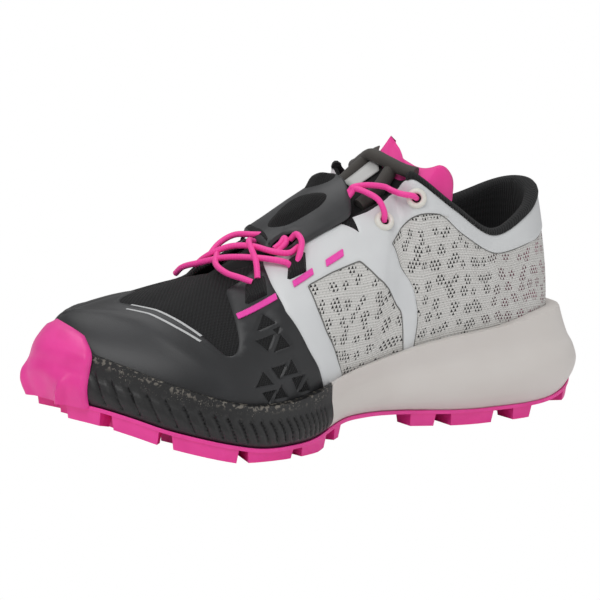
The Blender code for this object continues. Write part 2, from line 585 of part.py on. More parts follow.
def build_insole(finish):
    turn = full_turn()
    inset = -(UPPER_WALL + 2 * GAP)
    low = skin(turn, np.full(len(turn), 0.01), np.full(len(turn), inset))
    low[:, 2] = platform_height(low[:, 0])
    share = share_at_height(turn, low[:, 2] + INSOLE_THICKNESS)
    high = skin(turn, share, np.full(len(turn), inset))
    high[:, 2] = platform_height(high[:, 0]) + INSOLE_THICKNESS
    return bridged("insole", np.stack([low, high], 1), ACROSS_STEPS, finish,
                   lambda x: platform_height(x) + INSOLE_THICKNESS, platform_height)


def build_outsole(finish):
    """Tread plate, its lugs and the toe bumper with two ribs, united in one body."""
    plate = build_plate(finish)
    lugs = [edge_lug(*row) for row in EDGE_LUGS]
    lugs += [arrow_lug(*row) for row in ARROW_LUGS]
    lugs += [build_bumper(finish)]
    for lug in lugs:
        unite(plate, lug)
    return plate


def build_plate(finish):
    turn = full_turn()
    side = around(SIDES, turn)
    plan = outline(turn, side[:, 7] - PLATE_MARGIN)
    top = at_height(plan, bottom_height(plan[:, 0]) - GAP)
    low = top - np.array([0, 0, PLATE_THICKNESS])
    return bridged("outsole", np.stack([low, top], 1), ACROSS_STEPS, finish,
                   lambda x: bottom_height(x) - GAP, lambda x: bottom_height(x) - GAP - PLATE_THICKNESS)


def unite(body, piece):
    """Adds a piece to a body and leaves the piece out of the part."""
    join = body.modifiers.new(piece.name, "BOOLEAN")
    join.operation = "UNION"
    join.solver = "EXACT"
    join.object = piece
    SHOE.objects.unlink(piece)
    CUTTERS.objects.link(piece)
    piece.hide_render = True
    piece.display_type = "WIRE"


def lug_body(name, root, tip):
    """Lug between a root outline inside the plate and a tip outline on the ground."""
    root_z = bottom_height(root[:, 0]) - GAP - PLATE_THICKNESS + LUG_ROOT
    tip_z = np.maximum(bottom_height(tip[:, 0]) - LUG_REACH, 0)
    return swept(name, np.stack([at_height(root, root_z), at_height(tip, tip_z)]), RUBBER, closed=False)


def edge_lug(start, end, depth):
    """Block along the tread's edge from one row to another, with a depth across."""
    turn = np.linspace(start, end, 3)
    side = around(SIDES, turn)

    def ring(shrink):
        outer = outline(turn, side[:, 7] - PLATE_MARGIN + 0.0004 + shrink)
        inner = outline(turn[::-1], side[::-1, 7] + depth * HALF_BALL - shrink)
        along_edge = (outer[-1] - outer[0]) / np.linalg.norm(outer[-1] - outer[0]) * shrink
        ends = np.array([1, 0, -1, -1, 0, 1])[:, None] * along_edge
        return np.concatenate([outer, inner]) + ends

    return lug_body("edge_lug", ring(0), ring(LUG_TAPER))


def arrow_lug(x, y, width, length, aim):
    """Chevron that points to the toe (aim 1) or to the heel (aim -1)."""
    centre = np.array([x * SHOE_LENGTH, y * HALF_BALL])
    width, length = width * HALF_BALL, length * SHOE_LENGTH

    def ring(shrink):
        half, reach = width / 2 - shrink, length / 2 - shrink
        corners = [(reach, 0), (-reach * 0.2, half), (-reach, half), (-reach * 0.1, 0),
                   (-reach, -half), (-reach * 0.2, -half)]
        return np.array(corners) * np.array([aim, 1]) + centre

    return lug_body("arrow_lug", ring(0), ring(LUG_TAPER))


def bumper_levels(turn, out):
    """Points up the toe bumper at a distance from what it covers."""
    side = around(SIDES, turn)
    rim_in, rim_z, crease_in, crease_z, bulge_z, base_in = (side[:, column] for column in range(2, 8))
    base = outline(turn, base_in - out)
    foot_z = bottom_height(base[:, 0])
    top_share = share_at_height(turn, np.full(len(turn), BUMPER_HEIGHT))
    cover = np.full(len(turn), TOE_CAP_GAP + FILM_THICKNESS + GAP) + out * 0.8
    return [at_height(base, foot_z - GAP - PLATE_THICKNESS * 0.9),
            at_height(base, foot_z + GAP),
            at_height(outline(turn, base_in * 0.25 - out), foot_z * 0.55 + bulge_z * 0.45),
            at_height(outline(turn, -out), bulge_z),
            at_height(outline(turn, crease_in * 0.4 - out), bulge_z * 0.45 + crease_z * 0.55),
            at_height(outline(turn, crease_in - out), crease_z),
            at_height(outline(turn, rim_in - out), rim_z + 0.0006),
            skin(turn, top_share, cover)]


def build_bumper(finish):
    """Rubber that turns up over the toe from the tread, with two fins."""
    sides = np.array([-2, -1, 1, 2]) * RIB_HALF_WIDTH
    turn = np.union1d(turns(BUMPER_FROM, BUMPER_TO), np.add.outer(BUMPER_RIBS, sides))
    away = np.abs(np.subtract.outer(turn, BUMPER_RIBS)).min(1)
    fin = np.clip(2 - away / RIB_HALF_WIDTH, 0, 1)[:, None, None] * np.array(RIB_LEVELS)[None, :, None]
    inner, plain, proud = (np.stack(bumper_levels(turn, np.full(len(turn), GAP + out)), 1)
                           for out in (0, BUMPER_THICKNESS, BUMPER_THICKNESS + RIB_REACH))
    outer = plain * (1 - fin) + proud * fin
    return swept("bumper", np.concatenate([inner, outer[:, ::-1]], 1), finish, closed=False)


def pad_thickness(turn):
    return along(LINING_PAD, side_row(turn))


def edge_direction(turn, share):
    up = last_point(turn, share) - last_point(turn, share - 0.03)
    return up / np.linalg.norm(up, axis=-1, keepdims=True)


def build_collar(finish):
    """Padded lining with a lip that rolls over the collar and down the throat's edges."""
    turn = turns(-COLLAR_END, COLLAR_END)
    edge = throat_share(turn)
    depth = along(LINING_DEPTH, side_row(turn))
    up = edge_direction(turn, edge)
    pad = pad_thickness(turn)
    inner = -(UPPER_WALL + 2 * GAP)
    flat = np.ones(len(turn))

    def level(share, offset, rise=0.0):
        return skin(turn, share, offset * flat) + up * rise

    section = [level(edge - depth, inner), level(edge - depth / 2, inner), level(edge, inner, 2 * GAP),
               level(edge, 0.0006, 2 * GAP), level(edge, 0.0004, GAP + 0.0012), level(edge, -0.0012, GAP + 0.0020),
               level(edge, inner - pad * PAD_AT_LIP, 0.0012), level(edge, inner - pad, -0.0020),
               level(edge - depth / 2, inner - pad), level(edge - depth, inner - pad * PAD_AT_END)]
    return swept("collar_lining", np.stack(section, 1), finish, closed=False)


def tongue_point(turn, part, lift=0.0):
    """Point of the tongue, at a share of the way from its lower edge to its top or middle."""
    turn, part = np.broadcast_arrays(np.asarray(turn, float), np.asarray(part, float))
    row = side_row(turn)
    low = along(TONGUE_EDGE, row)
    offset = lift - (UPPER_WALL + TONGUE_CLEARANCE + pad_thickness(turn))
    point = skin(turn, low * (1 - part) + part, offset)
    knots = np.array(TONGUE_TOP)
    top = np.stack([along(knots[:, (0, column)], row) for column in (1, 2, 3)], -1) * BODY_SIZE
    top[..., 1] *= np.where(turn % TURN > LAST_ROW, -1, 1)
    edge = skin(turn, np.ones_like(part), offset - lift)
    fade = np.clip((8.0 - row) / (8.0 - knots[-1, 0]), 0, 1)
    tab = np.clip(1 - np.abs(row - RIDGE_FROM) / TAB_REACH, 0, 1) * part ** 8
    return (point + (top - edge) * (part ** 2 * fade)[..., None]
            + tab[..., None] * np.array([-TAB_LEAN, 0, TAB_HEIGHT]))


def build_tongue(finish):
    """Padded tongue under the throat, with wings and a tab that stand up inside the collar."""
    rows = np.concatenate([turns(TONGUE_TOP[0][0], 8.0), turns(8.0, TONGUE_EDGE[-1][0], 2)[1:]])
    part = np.linspace(0, 1, TONGUE_STEPS + 1)
    size = len(rows) * len(part)
    points = [tongue_point(turn[:, None], part[None]).reshape(-1, 3) for turn in (rows, TURN - rows[::-1])]
    faces = grid_faces(len(rows), len(part)) + grid_faces(len(rows), len(part), start=size)
    tongue = new_object("tongue", np.concatenate(points), faces, finish, close=False)
    solidify(tongue, TONGUE_THICKNESS, -1)
    return tongue


def curve_through(knots, steps):
    """Smooth open curve through points (Catmull-Rom)."""
    knots = np.asarray(knots)
    padded = np.concatenate([[2 * knots[0] - knots[1]], knots, [2 * knots[-1] - knots[-2]]])
    part = np.linspace(0, 1, steps + 1)[:-1, None]
    runs = []
    for before, here, there, after in zip(padded, padded[1:], padded[2:], padded[3:]):
        runs.append(0.5 * (2 * here + (there - before) * part
                           + (2 * before - 5 * here + 4 * there - after) * part ** 2
                           + (3 * here - before - 3 * there + after) * part ** 3))
    return np.concatenate(runs + [knots[-1:]])


def cord(name, path, half_width, half_height, sides, finish, up=(0.1, 0.2, 1.0)):
    """Rounded bar along a path."""
    path = np.asarray(path)
    tangent = np.gradient(path, axis=0)
    across = np.cross(tangent, np.array(up))
    across /= np.linalg.norm(across, axis=1)[:, None]
    over = np.cross(across, tangent)
    over /= np.linalg.norm(over, axis=1)[:, None]
    angle = (np.arange(sides) + 0.5) * 2 * pi / sides
    rings = (path[:, None] + across[:, None] * (np.cos(angle) * half_width)[None, :, None]
             + over[:, None] * (np.sin(angle) * half_height)[None, :, None])
    return swept(name, rings, finish, closed=False)


def build_tongue_rim(finish):
    """Arch of thick foam on the tongue's face, with its horn."""

    def bar(name, places, half_height):
        path = curve_through(np.array(places) * BODY_SIZE, 2)
        return cord(name, path, RIM_HALF_WIDTH, half_height, 6, finish, path - np.array(RIM_CENTRE) * BODY_SIZE)

    mirrored = [(x, -y, z) for x, y, z in RIM_BAR[-2::-1]]
    rim = bar("tongue_rim", [*RIM_BAR, *mirrored], RIM_HALF_HEIGHT)
    for side in (1, -1):
        unite(rim, bar("rim_leg", [(x, y * side, z) for x, y, z in RIM_LEG], RIM_HALF_HEIGHT * 0.95))
    return rim


def above_rim(turn):
    """Share of a rib just above the sole's rim."""
    turn = np.asarray(turn, float)
    return share_at_height(turn, around(SIDES, turn)[..., 3] + FILM_RISE)


def film_sheet(name, strips, thickness, gap, finish):
    """Film on both sides of the upper, from strips of its surface that share their borders.

    strips: two borders, each a run of (row, share), then the steps along each stretch, or along all, and across.
    gap: a distance over the last, or a function of turn and share that gives it.
    """
    points, faces, start = [], [], 0
    for first, second, steps, across in strips:
        part = np.linspace(0, 1, across + 1)[None, :, None]
        for side in (1, -1):
            low, high = resample(first, steps, side), resample(second, steps, side)
            chart = low[:, None] * (1 - part) + high[:, None] * part
            turn, share = chart[..., 0], chart[..., 1]
            over = gap(turn, share) if callable(gap) else np.full(turn.shape, gap)
            points.append(skin(turn, share, over).reshape(-1, 3))
            faces += grid_faces(*turn.shape, start=start)
            start += turn.size
    sheet = new_object(name, np.concatenate(points), faces, finish, weld=0.0001, close=False)
    point_outward(sheet)
    solidify(sheet, thickness, 1, even=False)
    return sheet


def point_outward(sheet):
    """Turns an open sheet's faces away from the middle of the shoe."""
    work = bmesh.new()
    work.from_mesh(sheet.data)
    bmesh.ops.recalc_face_normals(work, faces=work.faces)
    facing = sum(face.normal.z * face.calc_area() for face in work.faces)
    if facing < 0:
        bmesh.ops.reverse_faces(work, faces=work.faces)
    work.to_mesh(sheet.data)
    work.free()


def resample(border, steps, side):
    """Border on one side of the upper, with each of its stretches cut in steps; a share of 0 is put on the rim."""
    turn, share = np.array(border, float).T
    turn = turn if side > 0 else TURN - turn
    share = np.where(share == 0, above_rim(turn), share)
    steps = np.broadcast_to(steps, len(border) - 1)
    place = np.concatenate([index + np.arange(count) / count for index, count in enumerate(steps)] + [[len(steps)]])
    return np.stack([np.interp(place, np.arange(len(border)), column) for column in (turn, share)], -1)


def build_lace_cover(finish):
    def rise(turn, share):
        away = 1 - share
        dome = np.sin(np.clip(away / 0.26, 0, 1) * pi) * COVER_DOME
        return FILM_GAP + FILM_THICKNESS + COVER_RISE + dome

    return film_sheet("lace_cover", COVER_STRIPS, COVER_THICKNESS, rise, finish)


def build_eyelet(name, turn, share, finish):
    """Flat ring with its hole, on the film."""
    centre = skin(turn, share, 0.0)
    normal = last_normal(turn, share)
    one = np.cross(normal, [0, 0, 1.0])
    one /= np.linalg.norm(one)
    two = np.cross(normal, one)
    angle = np.arange(10) * 2 * pi / 10
    low = FILM_GAP + FILM_THICKNESS + GAP
    sections = []
    for step in angle:
        away = one * cos(step) + two * sin(step)
        corners = ((EYELET_HOLE, low), (EYELET_RADIUS, low), (EYELET_RADIUS * 0.85, low + EYELET_HEIGHT),
                   (EYELET_HOLE * 1.15, low + EYELET_HEIGHT))
        sections.append([centre + away * radius + normal * height for radius, height in corners])
    return swept(name, sections, finish, closed=True)


def build_loop(name, side, place, finish):
    """Short webbing slab on the forefoot film."""
    low_row, low_share, high_row, high_share = place
    turn = np.array([low_row, low_row, high_row, high_row])
    share = np.array([low_share, high_share, high_share, low_share])
    if side < 0:
        turn = TURN - turn
    base = TOE_CAP_GAP + FILM_THICKNESS + GAP
    rings = [skin(turn, share, np.full(4, height)) for height in (base, base + LOOP_THICKNESS)]
    return swept(name, rings, finish, closed=False)


def ridge_point(row, down, height):
    """Point over the upper, from a row, a way down from the ridge and a height in millimetres."""
    turn = row if down >= 0 else TURN - row
    return skin(turn, 1 - abs(down), height * 0.001)


def build_lace(name, runs, side, finish):
    """Cords over the instep, joined where they meet."""
    cords = []
    for run in runs:
        path = curve_through([ridge_point(row, down * side, height) for row, down, height in run], 2)
        cords.append(cord(name, path, LACE_RADIUS, LACE_RADIUS, 5, finish))
    for other in cords[1:]:
        unite(cords[0], other)
    return cords[0]


def start_scene():
    for item in list(bpy.data.objects):
        bpy.data.objects.remove(item)


start_scene()
SHOE = bpy.data.collections.new("trail_running_shoe")
bpy.context.scene.collection.children.link(SHOE)
CUTTERS = bpy.data.collections.new("cutters")
bpy.context.scene.collection.children.link(CUTTERS)

FOAM = material("eva_foam", (0.66, 0.62, 0.60), 0.6)
BLACK_RUBBER = material("black_rubber", (0.012, 0.012, 0.013), 0.55)
RUBBER = material("pink_rubber", (0.89, 0.04, 0.34), 0.5)
KNIT = material("knit", (0.58, 0.57, 0.55), 0.9)
FOOTBED = material("footbed", (0.02, 0.02, 0.02), 0.95)
LINING = material("lining_textile", (0.015, 0.016, 0.017), 0.95)
TONGUE_KNIT = material("tongue_textile", (0.85, 0.03, 0.33), 0.8)
RIM_FOAM = material("tongue_rim_foam", (0.04, 0.033, 0.028), 0.8)
CHARCOAL_FILM = material("charcoal_film", (0.025, 0.026, 0.028), 0.45)
WHITE_FILM = material("white_film", (0.66, 0.68, 0.71), 0.45)
COVER_FILM = material("cover_film", (0.035, 0.036, 0.038), 0.5)
CREAM_PLASTIC = material("cream_plastic", (0.75, 0.73, 0.67), 0.35)
WEBBING = material("black_webbing", (0.01, 0.01, 0.011), 0.9)
LACE = material("pink_lace", (0.88, 0.05, 0.35), 0.7)

build_midsole(FOAM)
build_rand(BLACK_RUBBER)
build_outsole(RUBBER)
build_upper(KNIT)
build_insole(FOOTBED)
build_collar(LINING)
build_tongue(TONGUE_KNIT)
build_tongue_rim(RIM_FOAM)
film_sheet("toe_cap", TOE_CAP_STRIPS, FILM_THICKNESS, TOE_CAP_GAP, CHARCOAL_FILM)
film_sheet("quarter_film", QUARTER_STRIPS, FILM_THICKNESS, FILM_GAP, WHITE_FILM)
build_lace_cover(COVER_FILM)
for side, word in ((1, "lateral"), (-1, "medial")):
    for level, (row, share) in EYELETS.items():
        build_eyelet(f"eyelet_{level}_{word}", row * side, share, CREAM_PLASTIC)
    for level, place in LOOPS.items():
        build_loop(f"loop_{level}_{word}", side, place, WEBBING)
    build_lace(f"lace_rear_{word}", LACE_REAR, side, LACE)
build_lace("lace_front", LACE_FRONT, 1, LACE)
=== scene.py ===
# Left trail running shoe: knit upper with film overlays, foam cup sole, grooved rand and lugged tread.
import math

import bmesh
import bpy
import numpy as np
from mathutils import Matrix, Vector, geometry, kdtree


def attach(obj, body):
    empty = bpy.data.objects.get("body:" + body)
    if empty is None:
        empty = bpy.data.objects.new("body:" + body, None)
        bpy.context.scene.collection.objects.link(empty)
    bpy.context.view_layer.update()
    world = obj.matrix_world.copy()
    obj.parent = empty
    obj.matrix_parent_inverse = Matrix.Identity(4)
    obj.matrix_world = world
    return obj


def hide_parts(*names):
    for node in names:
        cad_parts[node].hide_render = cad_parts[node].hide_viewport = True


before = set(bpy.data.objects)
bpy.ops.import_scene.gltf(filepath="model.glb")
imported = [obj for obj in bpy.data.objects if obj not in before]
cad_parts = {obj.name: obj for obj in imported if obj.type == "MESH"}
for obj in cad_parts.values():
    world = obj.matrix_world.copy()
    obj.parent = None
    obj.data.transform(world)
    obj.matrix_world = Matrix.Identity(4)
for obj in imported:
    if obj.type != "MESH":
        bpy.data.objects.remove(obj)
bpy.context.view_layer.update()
print("frame loaded")

mm = 0.001

# The shared surface, in the same tables and sizes as the solids
shoe = {
    "length": 0.266, "halfBall": 0.052, "instep": 0.098, "heel": 0.1045, "stack": 0.028,
    "wall": 0.0018, "gap": 0.0003, "lugReach": 0.0072, "originShare": 0.493,
}
originX = shoe["length"] * shoe["originShare"]
# Ribs of the last. Columns: foot x, y, top x, y, z, then how far the rib bulges low down and how high, and how
# far it bulges near the top and how far below it. All are shares of the sizes above
heelRib = (0.041, 0.000, 0.055, -0.058, 1.000, 0.090, 0.219, 0.100, 0.250)
lateralCollarRibs = (
    (0.055, 0.300, 0.073, 0.240, 0.973, 0.090, 0.219, 0.110, 0.260),
    (0.108, 0.452, 0.133, 0.471, 0.889, 0.100, 0.219, 0.100, 0.219),
    (0.194, 0.510, 0.227, 0.596, 0.812, 0.110, 0.200, 0.100, 0.200),
    (0.291, 0.535, 0.319, 0.635, 0.926, 0.130, 0.200, 0.119, 0.219),
)
lateralInstepRibs = (
    (0.378, 0.565, 0.391, 0.569, 1.120, 0.145, 0.219, 0.150, 0.260),
    (0.442, 0.605, 0.405, 0.300, 1.143, 0.155, 0.240, 0.330, 0.150),
    (0.498, 0.660, 0.4135, 0.000, 1.168, 0.155, 0.260, 0.640, 0.070),
    (0.550, 0.715, 0.462, 0.000, 1.100, 0.145, 0.270, 0.585, 0.040),
    (0.603, 0.775, 0.537, 0.000, 0.990, 0.135, 0.280, 0.545, 0.030),
    (0.665, 0.820, 0.619, -0.060, 0.840, 0.125, 0.260, 0.500, 0.000),
    (0.736, 0.800, 0.706, -0.140, 0.700, 0.119, 0.220, 0.460, 0.000),
    (0.813, 0.670, 0.782, -0.219, 0.635, 0.100, 0.194, 0.400, 0.000),
    (0.882, 0.400, 0.853, -0.300, 0.585, 0.081, 0.180, 0.300, 0.000),
    (0.928, 0.110, 0.898, -0.319, 0.551, 0.060, 0.170, 0.200, 0.000),
)
toeRib = (0.940, -0.230, 0.915, -0.327, 0.531, 0.040, 0.160, 0.100, 0.000)
medialCollarRibs = (
    (0.055, -0.300, 0.073, -0.340, 0.973, 0.090, 0.219, 0.110, 0.260),
    (0.108, -0.452, 0.133, -0.519, 0.900, 0.100, 0.219, 0.100, 0.219),
    (0.194, -0.505, 0.227, -0.600, 0.834, 0.115, 0.200, 0.100, 0.200),
    (0.291, -0.490, 0.319, -0.610, 0.934, 0.150, 0.200, 0.119, 0.219),
)
medialInstepRibs = (
    (0.378, -0.485, 0.391, -0.558, 1.120, 0.175, 0.219, 0.150, 0.260),
    (0.442, -0.505, 0.405, -0.300, 1.143, 0.175, 0.240, 0.320, 0.150),
    (0.498, -0.545, 0.4135, 0.000, 1.168, 0.169, 0.260, 0.620, 0.070),
    (0.550, -0.605, 0.462, 0.000, 1.100, 0.160, 0.270, 0.556, 0.040),
    (0.603, -0.680, 0.537, 0.000, 0.990, 0.140, 0.280, 0.505, 0.030),
    (0.665, -0.765, 0.619, -0.060, 0.840, 0.119, 0.260, 0.442, 0.000),
    (0.736, -0.820, 0.706, -0.140, 0.700, 0.110, 0.220, 0.381, 0.000),
    (0.813, -0.810, 0.782, -0.219, 0.635, 0.090, 0.194, 0.319, 0.000),
    (0.883, -0.700, 0.853, -0.300, 0.585, 0.069, 0.180, 0.240, 0.000),
    (0.922, -0.490, 0.898, -0.319, 0.551, 0.050, 0.170, 0.160, 0.000),
)
# Side of the sole. Columns: x, y, rim inset and height, crease inset and height, bulge height, base inset
heelSide = (0.000, 0.000, 0.092, 1.786, 0.065, 1.340, 0.960, 0.040)
lateralSides = (
    (0.003, 0.490, 0.185, 1.770, 0.096, 1.330, 0.920, 0.060),
    (0.065, 0.700, 0.140, 1.732, 0.100, 1.290, 0.880, 0.080),
    (0.188, 0.740, 0.090, 1.564, 0.096, 1.196, 0.786, 0.100),
    (0.289, 0.731, 0.050, 1.471, 0.077, 1.125, 0.714, 0.096),
    (0.376, 0.721, 0.025, 1.375, 0.058, 1.054, 0.679, 0.088),
    (0.451, 0.731, 0.008, 1.250, 0.038, 1.000, 0.679, 0.075),
    (0.508, 0.769, 0.000, 1.164, 0.023, 0.929, 0.643, 0.062),
    (0.553, 0.827, 0.008, 1.057, 0.015, 0.821, 0.571, 0.056),
    (0.602, 0.923, 0.038, 0.907, 0.023, 0.679, 0.464, 0.050),
    (0.665, 0.992, 0.077, 0.800, 0.038, 0.600, 0.420, 0.050),
    (0.741, 0.962, 0.077, 0.814, 0.038, 0.610, 0.430, 0.050),
    (0.820, 0.788, 0.065, 1.018, 0.035, 0.800, 0.600, 0.050),
    (0.900, 0.490, 0.058, 1.314, 0.031, 1.070, 0.860, 0.050),
    (0.952, 0.150, 0.065, 1.500, 0.031, 1.260, 1.040, 0.050),
)
toeSide = (0.976, -0.220, 0.077, 1.536, 0.035, 1.310, 1.110, 0.050)
medialSides = (
    (0.003, -0.490, 0.185, 1.770, 0.096, 1.330, 0.920, 0.060),
    (0.065, -0.700, 0.140, 1.732, 0.100, 1.300, 0.880, 0.080),
    (0.188, -0.731, 0.090, 1.607, 0.096, 1.232, 0.786, 0.100),
    (0.289, -0.692, 0.050, 1.536, 0.077, 1.179, 0.714, 0.096),
    (0.376, -0.663, 0.025, 1.482, 0.058, 1.125, 0.679, 0.088),
    (0.451, -0.673, 0.012, 1.411, 0.042, 1.071, 0.679, 0.075),
    (0.508, -0.721, 0.008, 1.321, 0.031, 1.000, 0.643, 0.062),
    (0.553, -0.779, 0.012, 1.214, 0.023, 0.911, 0.571, 0.056),
    (0.602, -0.865, 0.038, 1.071, 0.027, 0.768, 0.464, 0.050),
    (0.665, -0.962, 0.065, 0.929, 0.038, 0.660, 0.420, 0.050),
    (0.741, -1.000, 0.077, 0.893, 0.038, 0.650, 0.430, 0.050),
    (0.820, -0.973, 0.077, 1.000, 0.035, 0.780, 0.600, 0.050),
    (0.902, -0.840, 0.073, 1.232, 0.031, 1.000, 0.840, 0.050),
    (0.944, -0.590, 0.073, 1.429, 0.031, 1.200, 1.030, 0.050),
)
# Underside and platform of the sole. Columns: share of the length, share of the heel stack
bottomProfile = (
    (0.000, 0.700), (0.015, 0.600), (0.040, 0.450), (0.080, 0.325), (0.125, 0.270), (0.170, 0.257),
    (0.230, 0.257), (0.290, 0.275), (0.355, 0.325), (0.420, 0.380), (0.490, 0.414), (0.535, 0.405),
    (0.575, 0.325), (0.615, 0.232), (0.660, 0.203), (0.715, 0.205), (0.765, 0.285), (0.810, 0.386),
    (0.850, 0.493), (0.885, 0.618), (0.920, 0.725), (0.955, 0.786), (1.000, 0.860),
)
platformProfile = (
    (0.000, 0.982), (0.190, 0.975), (0.300, 0.946), (0.376, 0.893), (0.450, 0.821), (0.508, 0.750),
    (0.553, 0.693), (0.602, 0.650), (0.665, 0.621), (0.736, 0.625), (0.813, 0.700), (0.882, 0.855),
    (0.926, 0.970), (1.000, 1.150),
)
# By row: the throat's edge as a share of the wall, the lining's thickness in metres and its depth as a share
throatEdge = (
    (0.0, 1.0), (5.0, 1.0), (5.5, 0.95), (6.0, 0.87), (6.5, 0.80), (7.0, 0.765), (8.0, 0.74),
    (9.0, 0.75), (10.0, 0.77), (10.7, 0.84), (11.3, 1.0), (15.0, 1.0),
)
liningPad = ((0.0, 0.0036), (2.0, 0.0032), (3.5, 0.0020), (4.5, 0.0013), (5.5, 0.0010), (15.0, 0.0010))
liningDepth = ((0.0, 0.62), (2.5, 0.58), (3.6, 0.50), (4.4, 0.30), (5.0, 0.14), (5.6, 0.09), (15.0, 0.08))
turnCount = 30
ridgeFrom = 7


def ribsInMetres():
    length, half, instep = shoe["length"], shoe["halfBall"], shoe["instep"]
    collar = np.array([length, half, length, half, shoe["heel"], half, instep, half, instep])
    front = np.array([length, half, length, half, instep, half, instep, half, instep])
    lateral = np.concatenate([np.array(lateralCollarRibs) * collar, np.array(lateralInstepRibs) * front])
    medial = np.concatenate([np.array(medialCollarRibs) * collar, np.array(medialInstepRibs) * front])
    return np.concatenate([np.array([heelRib]) * collar, lateral, np.array([toeRib]) * front, medial[::-1]])


def sidesInMetres():
    half, stack = shoe["halfBall"], shoe["stack"]
    share = np.array([heelSide, *lateralSides, toeSide, *reversed(medialSides)])
    return share * np.array([shoe["length"], half, half, stack, half, stack, stack, half])


ribs = ribsInMetres()
sides = sidesInMetres()


def spline(before, here, there, after, part):
    # Smooth curve from the second of four values to the third.
    return 0.5 * (2 * here + (there - before) * part
                  + (2 * before - 5 * here + 4 * there - after) * part ** 2
                  + (3 * here - before - 3 * there + after) * part ** 3)


def around(rows, turn):
    # Row of a closed table at a turn.
    turn = np.asarray(turn, float)
    start = np.floor(turn).astype(int)
    return spline(*(rows[(start + step) % len(rows)] for step in (-1, 0, 1, 2)), (turn - start)[..., None])


def along(table, place):
    # Value of an open table at a place, without overshoot beside its flat stretches.
    knots, values = np.array(table).T
    slopes = np.gradient(values, knots)
    flat = np.diff(values) == 0
    slopes[:-1][flat] = 0
    slopes[1:][flat] = 0
    place = np.clip(np.asarray(place, float), knots[0], knots[-1])
    index = np.clip(np.searchsorted(knots, place, side="right") - 1, 0, len(knots) - 2)
    span = knots[index + 1] - knots[index]
    part = (place - knots[index]) / span
    return ((1 + 2 * part) * (1 - part) ** 2 * values[index] + part * (1 - part) ** 2 * span * slopes[index]
            + part ** 2 * (3 - 2 * part) * values[index + 1]
            + part ** 2 * (part - 1) * span * slopes[index + 1])


def bottomHeight(x):
    return along(bottomProfile, x / shoe["length"]) * shoe["stack"]


def platformHeight(x):
    return along(platformProfile, x / shoe["length"]) * shoe["stack"]


def outward(rows, turn):
    step = 0.05
    tangent = around(rows[:, :2], np.asarray(turn) + step) - around(rows[:, :2], np.asarray(turn) - step)
    normal = np.stack([-tangent[..., 1], tangent[..., 0]], -1)
    return normal / np.linalg.norm(normal, axis=-1, keepdims=True)


def sideRow(turn):
    # Row counted from the heel, the same on both sides.
    turn = np.asarray(turn, float) % turnCount
    return np.minimum(turn, turnCount - turn)


def lastPoint(turn, share):
    # Point of the bare last: turn goes round the shoe, share goes up its side.
    turn, share = np.broadcast_arrays(np.asarray(turn, float), np.asarray(share, float))
    rib = around(ribs, turn)
    side = outward(ribs, turn)
    foot = np.concatenate([rib[..., :2], platformHeight(rib[..., :1])], -1)
    onRidge = sideRow(turn)[..., None] > ridgeFrom - 0.01
    top = np.where(onRidge, (rib[..., 2:5] + around(ribs, turnCount - turn)[..., 2:5]) / 2, rib[..., 2:5])
    belly, rise, shoulder, drop = (rib[..., column, None] for column in (5, 6, 7, 8))
    low = foot + np.concatenate([side * belly, rise], -1)
    high = top + np.concatenate([side * shoulder, -drop], -1)
    share = share[..., None]
    rest = 1 - share
    return rest ** 3 * foot + 3 * rest ** 2 * share * low + 3 * rest * share ** 2 * high + share ** 3 * top


def rawNormal(turn, share):
    step = 0.02
    crowded = np.clip(sideRow(turn) - 13, 0, 1)
    share = np.clip(share, step, 1 - step - 0.14 * crowded)
    across = lastPoint(turn + step, share) - lastPoint(turn - step, share)
    upward = lastPoint(turn, share + step) - lastPoint(turn, share - step)
    normal = np.cross(upward, across)
    return normal / np.linalg.norm(normal, axis=-1, keepdims=True)


def lastNormal(turn, share):
    turn, share = np.broadcast_arrays(np.asarray(turn, float), np.asarray(share, float))
    normal = rawNormal(turn, share)
    both = normal + rawNormal(turnCount - turn, share)
    both = both / np.linalg.norm(both, axis=-1, keepdims=True)
    blend = np.clip((share - 0.93) / 0.07, 0, 1) * (sideRow(turn) > ridgeFrom - 0.01)
    mixed = normal * (1 - blend[..., None]) + both * blend[..., None]
    return mixed / np.linalg.norm(mixed, axis=-1, keepdims=True)


# Creases and soft ridges of the upper.
# Columns: turn, share, turn, share, width in mm, height in mm (below zero for a trough)
creases = (
    (11.9, 0.78, 11.0, 0.98, 4.0, -0.5), (11.6, 0.66, 11.1, 0.88, 4.0, 0.35),
    (10.9, 0.30, 9.6, 0.12, 5.0, -0.4), (6.9, 0.60, 5.2, 0.50, 4.0, -0.5), (5.6, 0.62, 4.5, 0.78, 4.0, -0.4),
    (3.4, 0.30, 2.0, 0.45, 6.0, -0.5), (4.7, 0.60, 4.2, 0.25, 6.0, -0.5), (8.5, 0.62, 7.7, 0.58, 3.0, -0.35),
    (19.0, 0.78, 18.6, 0.98, 4.0, -0.5), (24.6, 0.55, 25.6, 0.30, 6.0, -0.6),
    (20.4, 0.15, 21.6, 0.4, 5.0, -0.4),
    (22.4, 0.60, 23.8, 0.52, 4.0, -0.5), (27.2, 0.30, 28.0, 0.45, 6.0, -0.5),
)
flatRow = 18.5  # millimetres in one row, where the surface is laid flat
flatShare = 92.0  # millimetres up the whole side


def segmentDistance(points, starts, ends):
    # Distance from each point to each segment, in the plane.
    span = ends - starts
    size = np.maximum((span ** 2).sum(-1), 1e-9)
    part = np.clip(((points[:, None] - starts) * span).sum(-1) / size, 0, 1)
    return np.linalg.norm(points[:, None] - starts - part[..., None] * span, axis=-1)


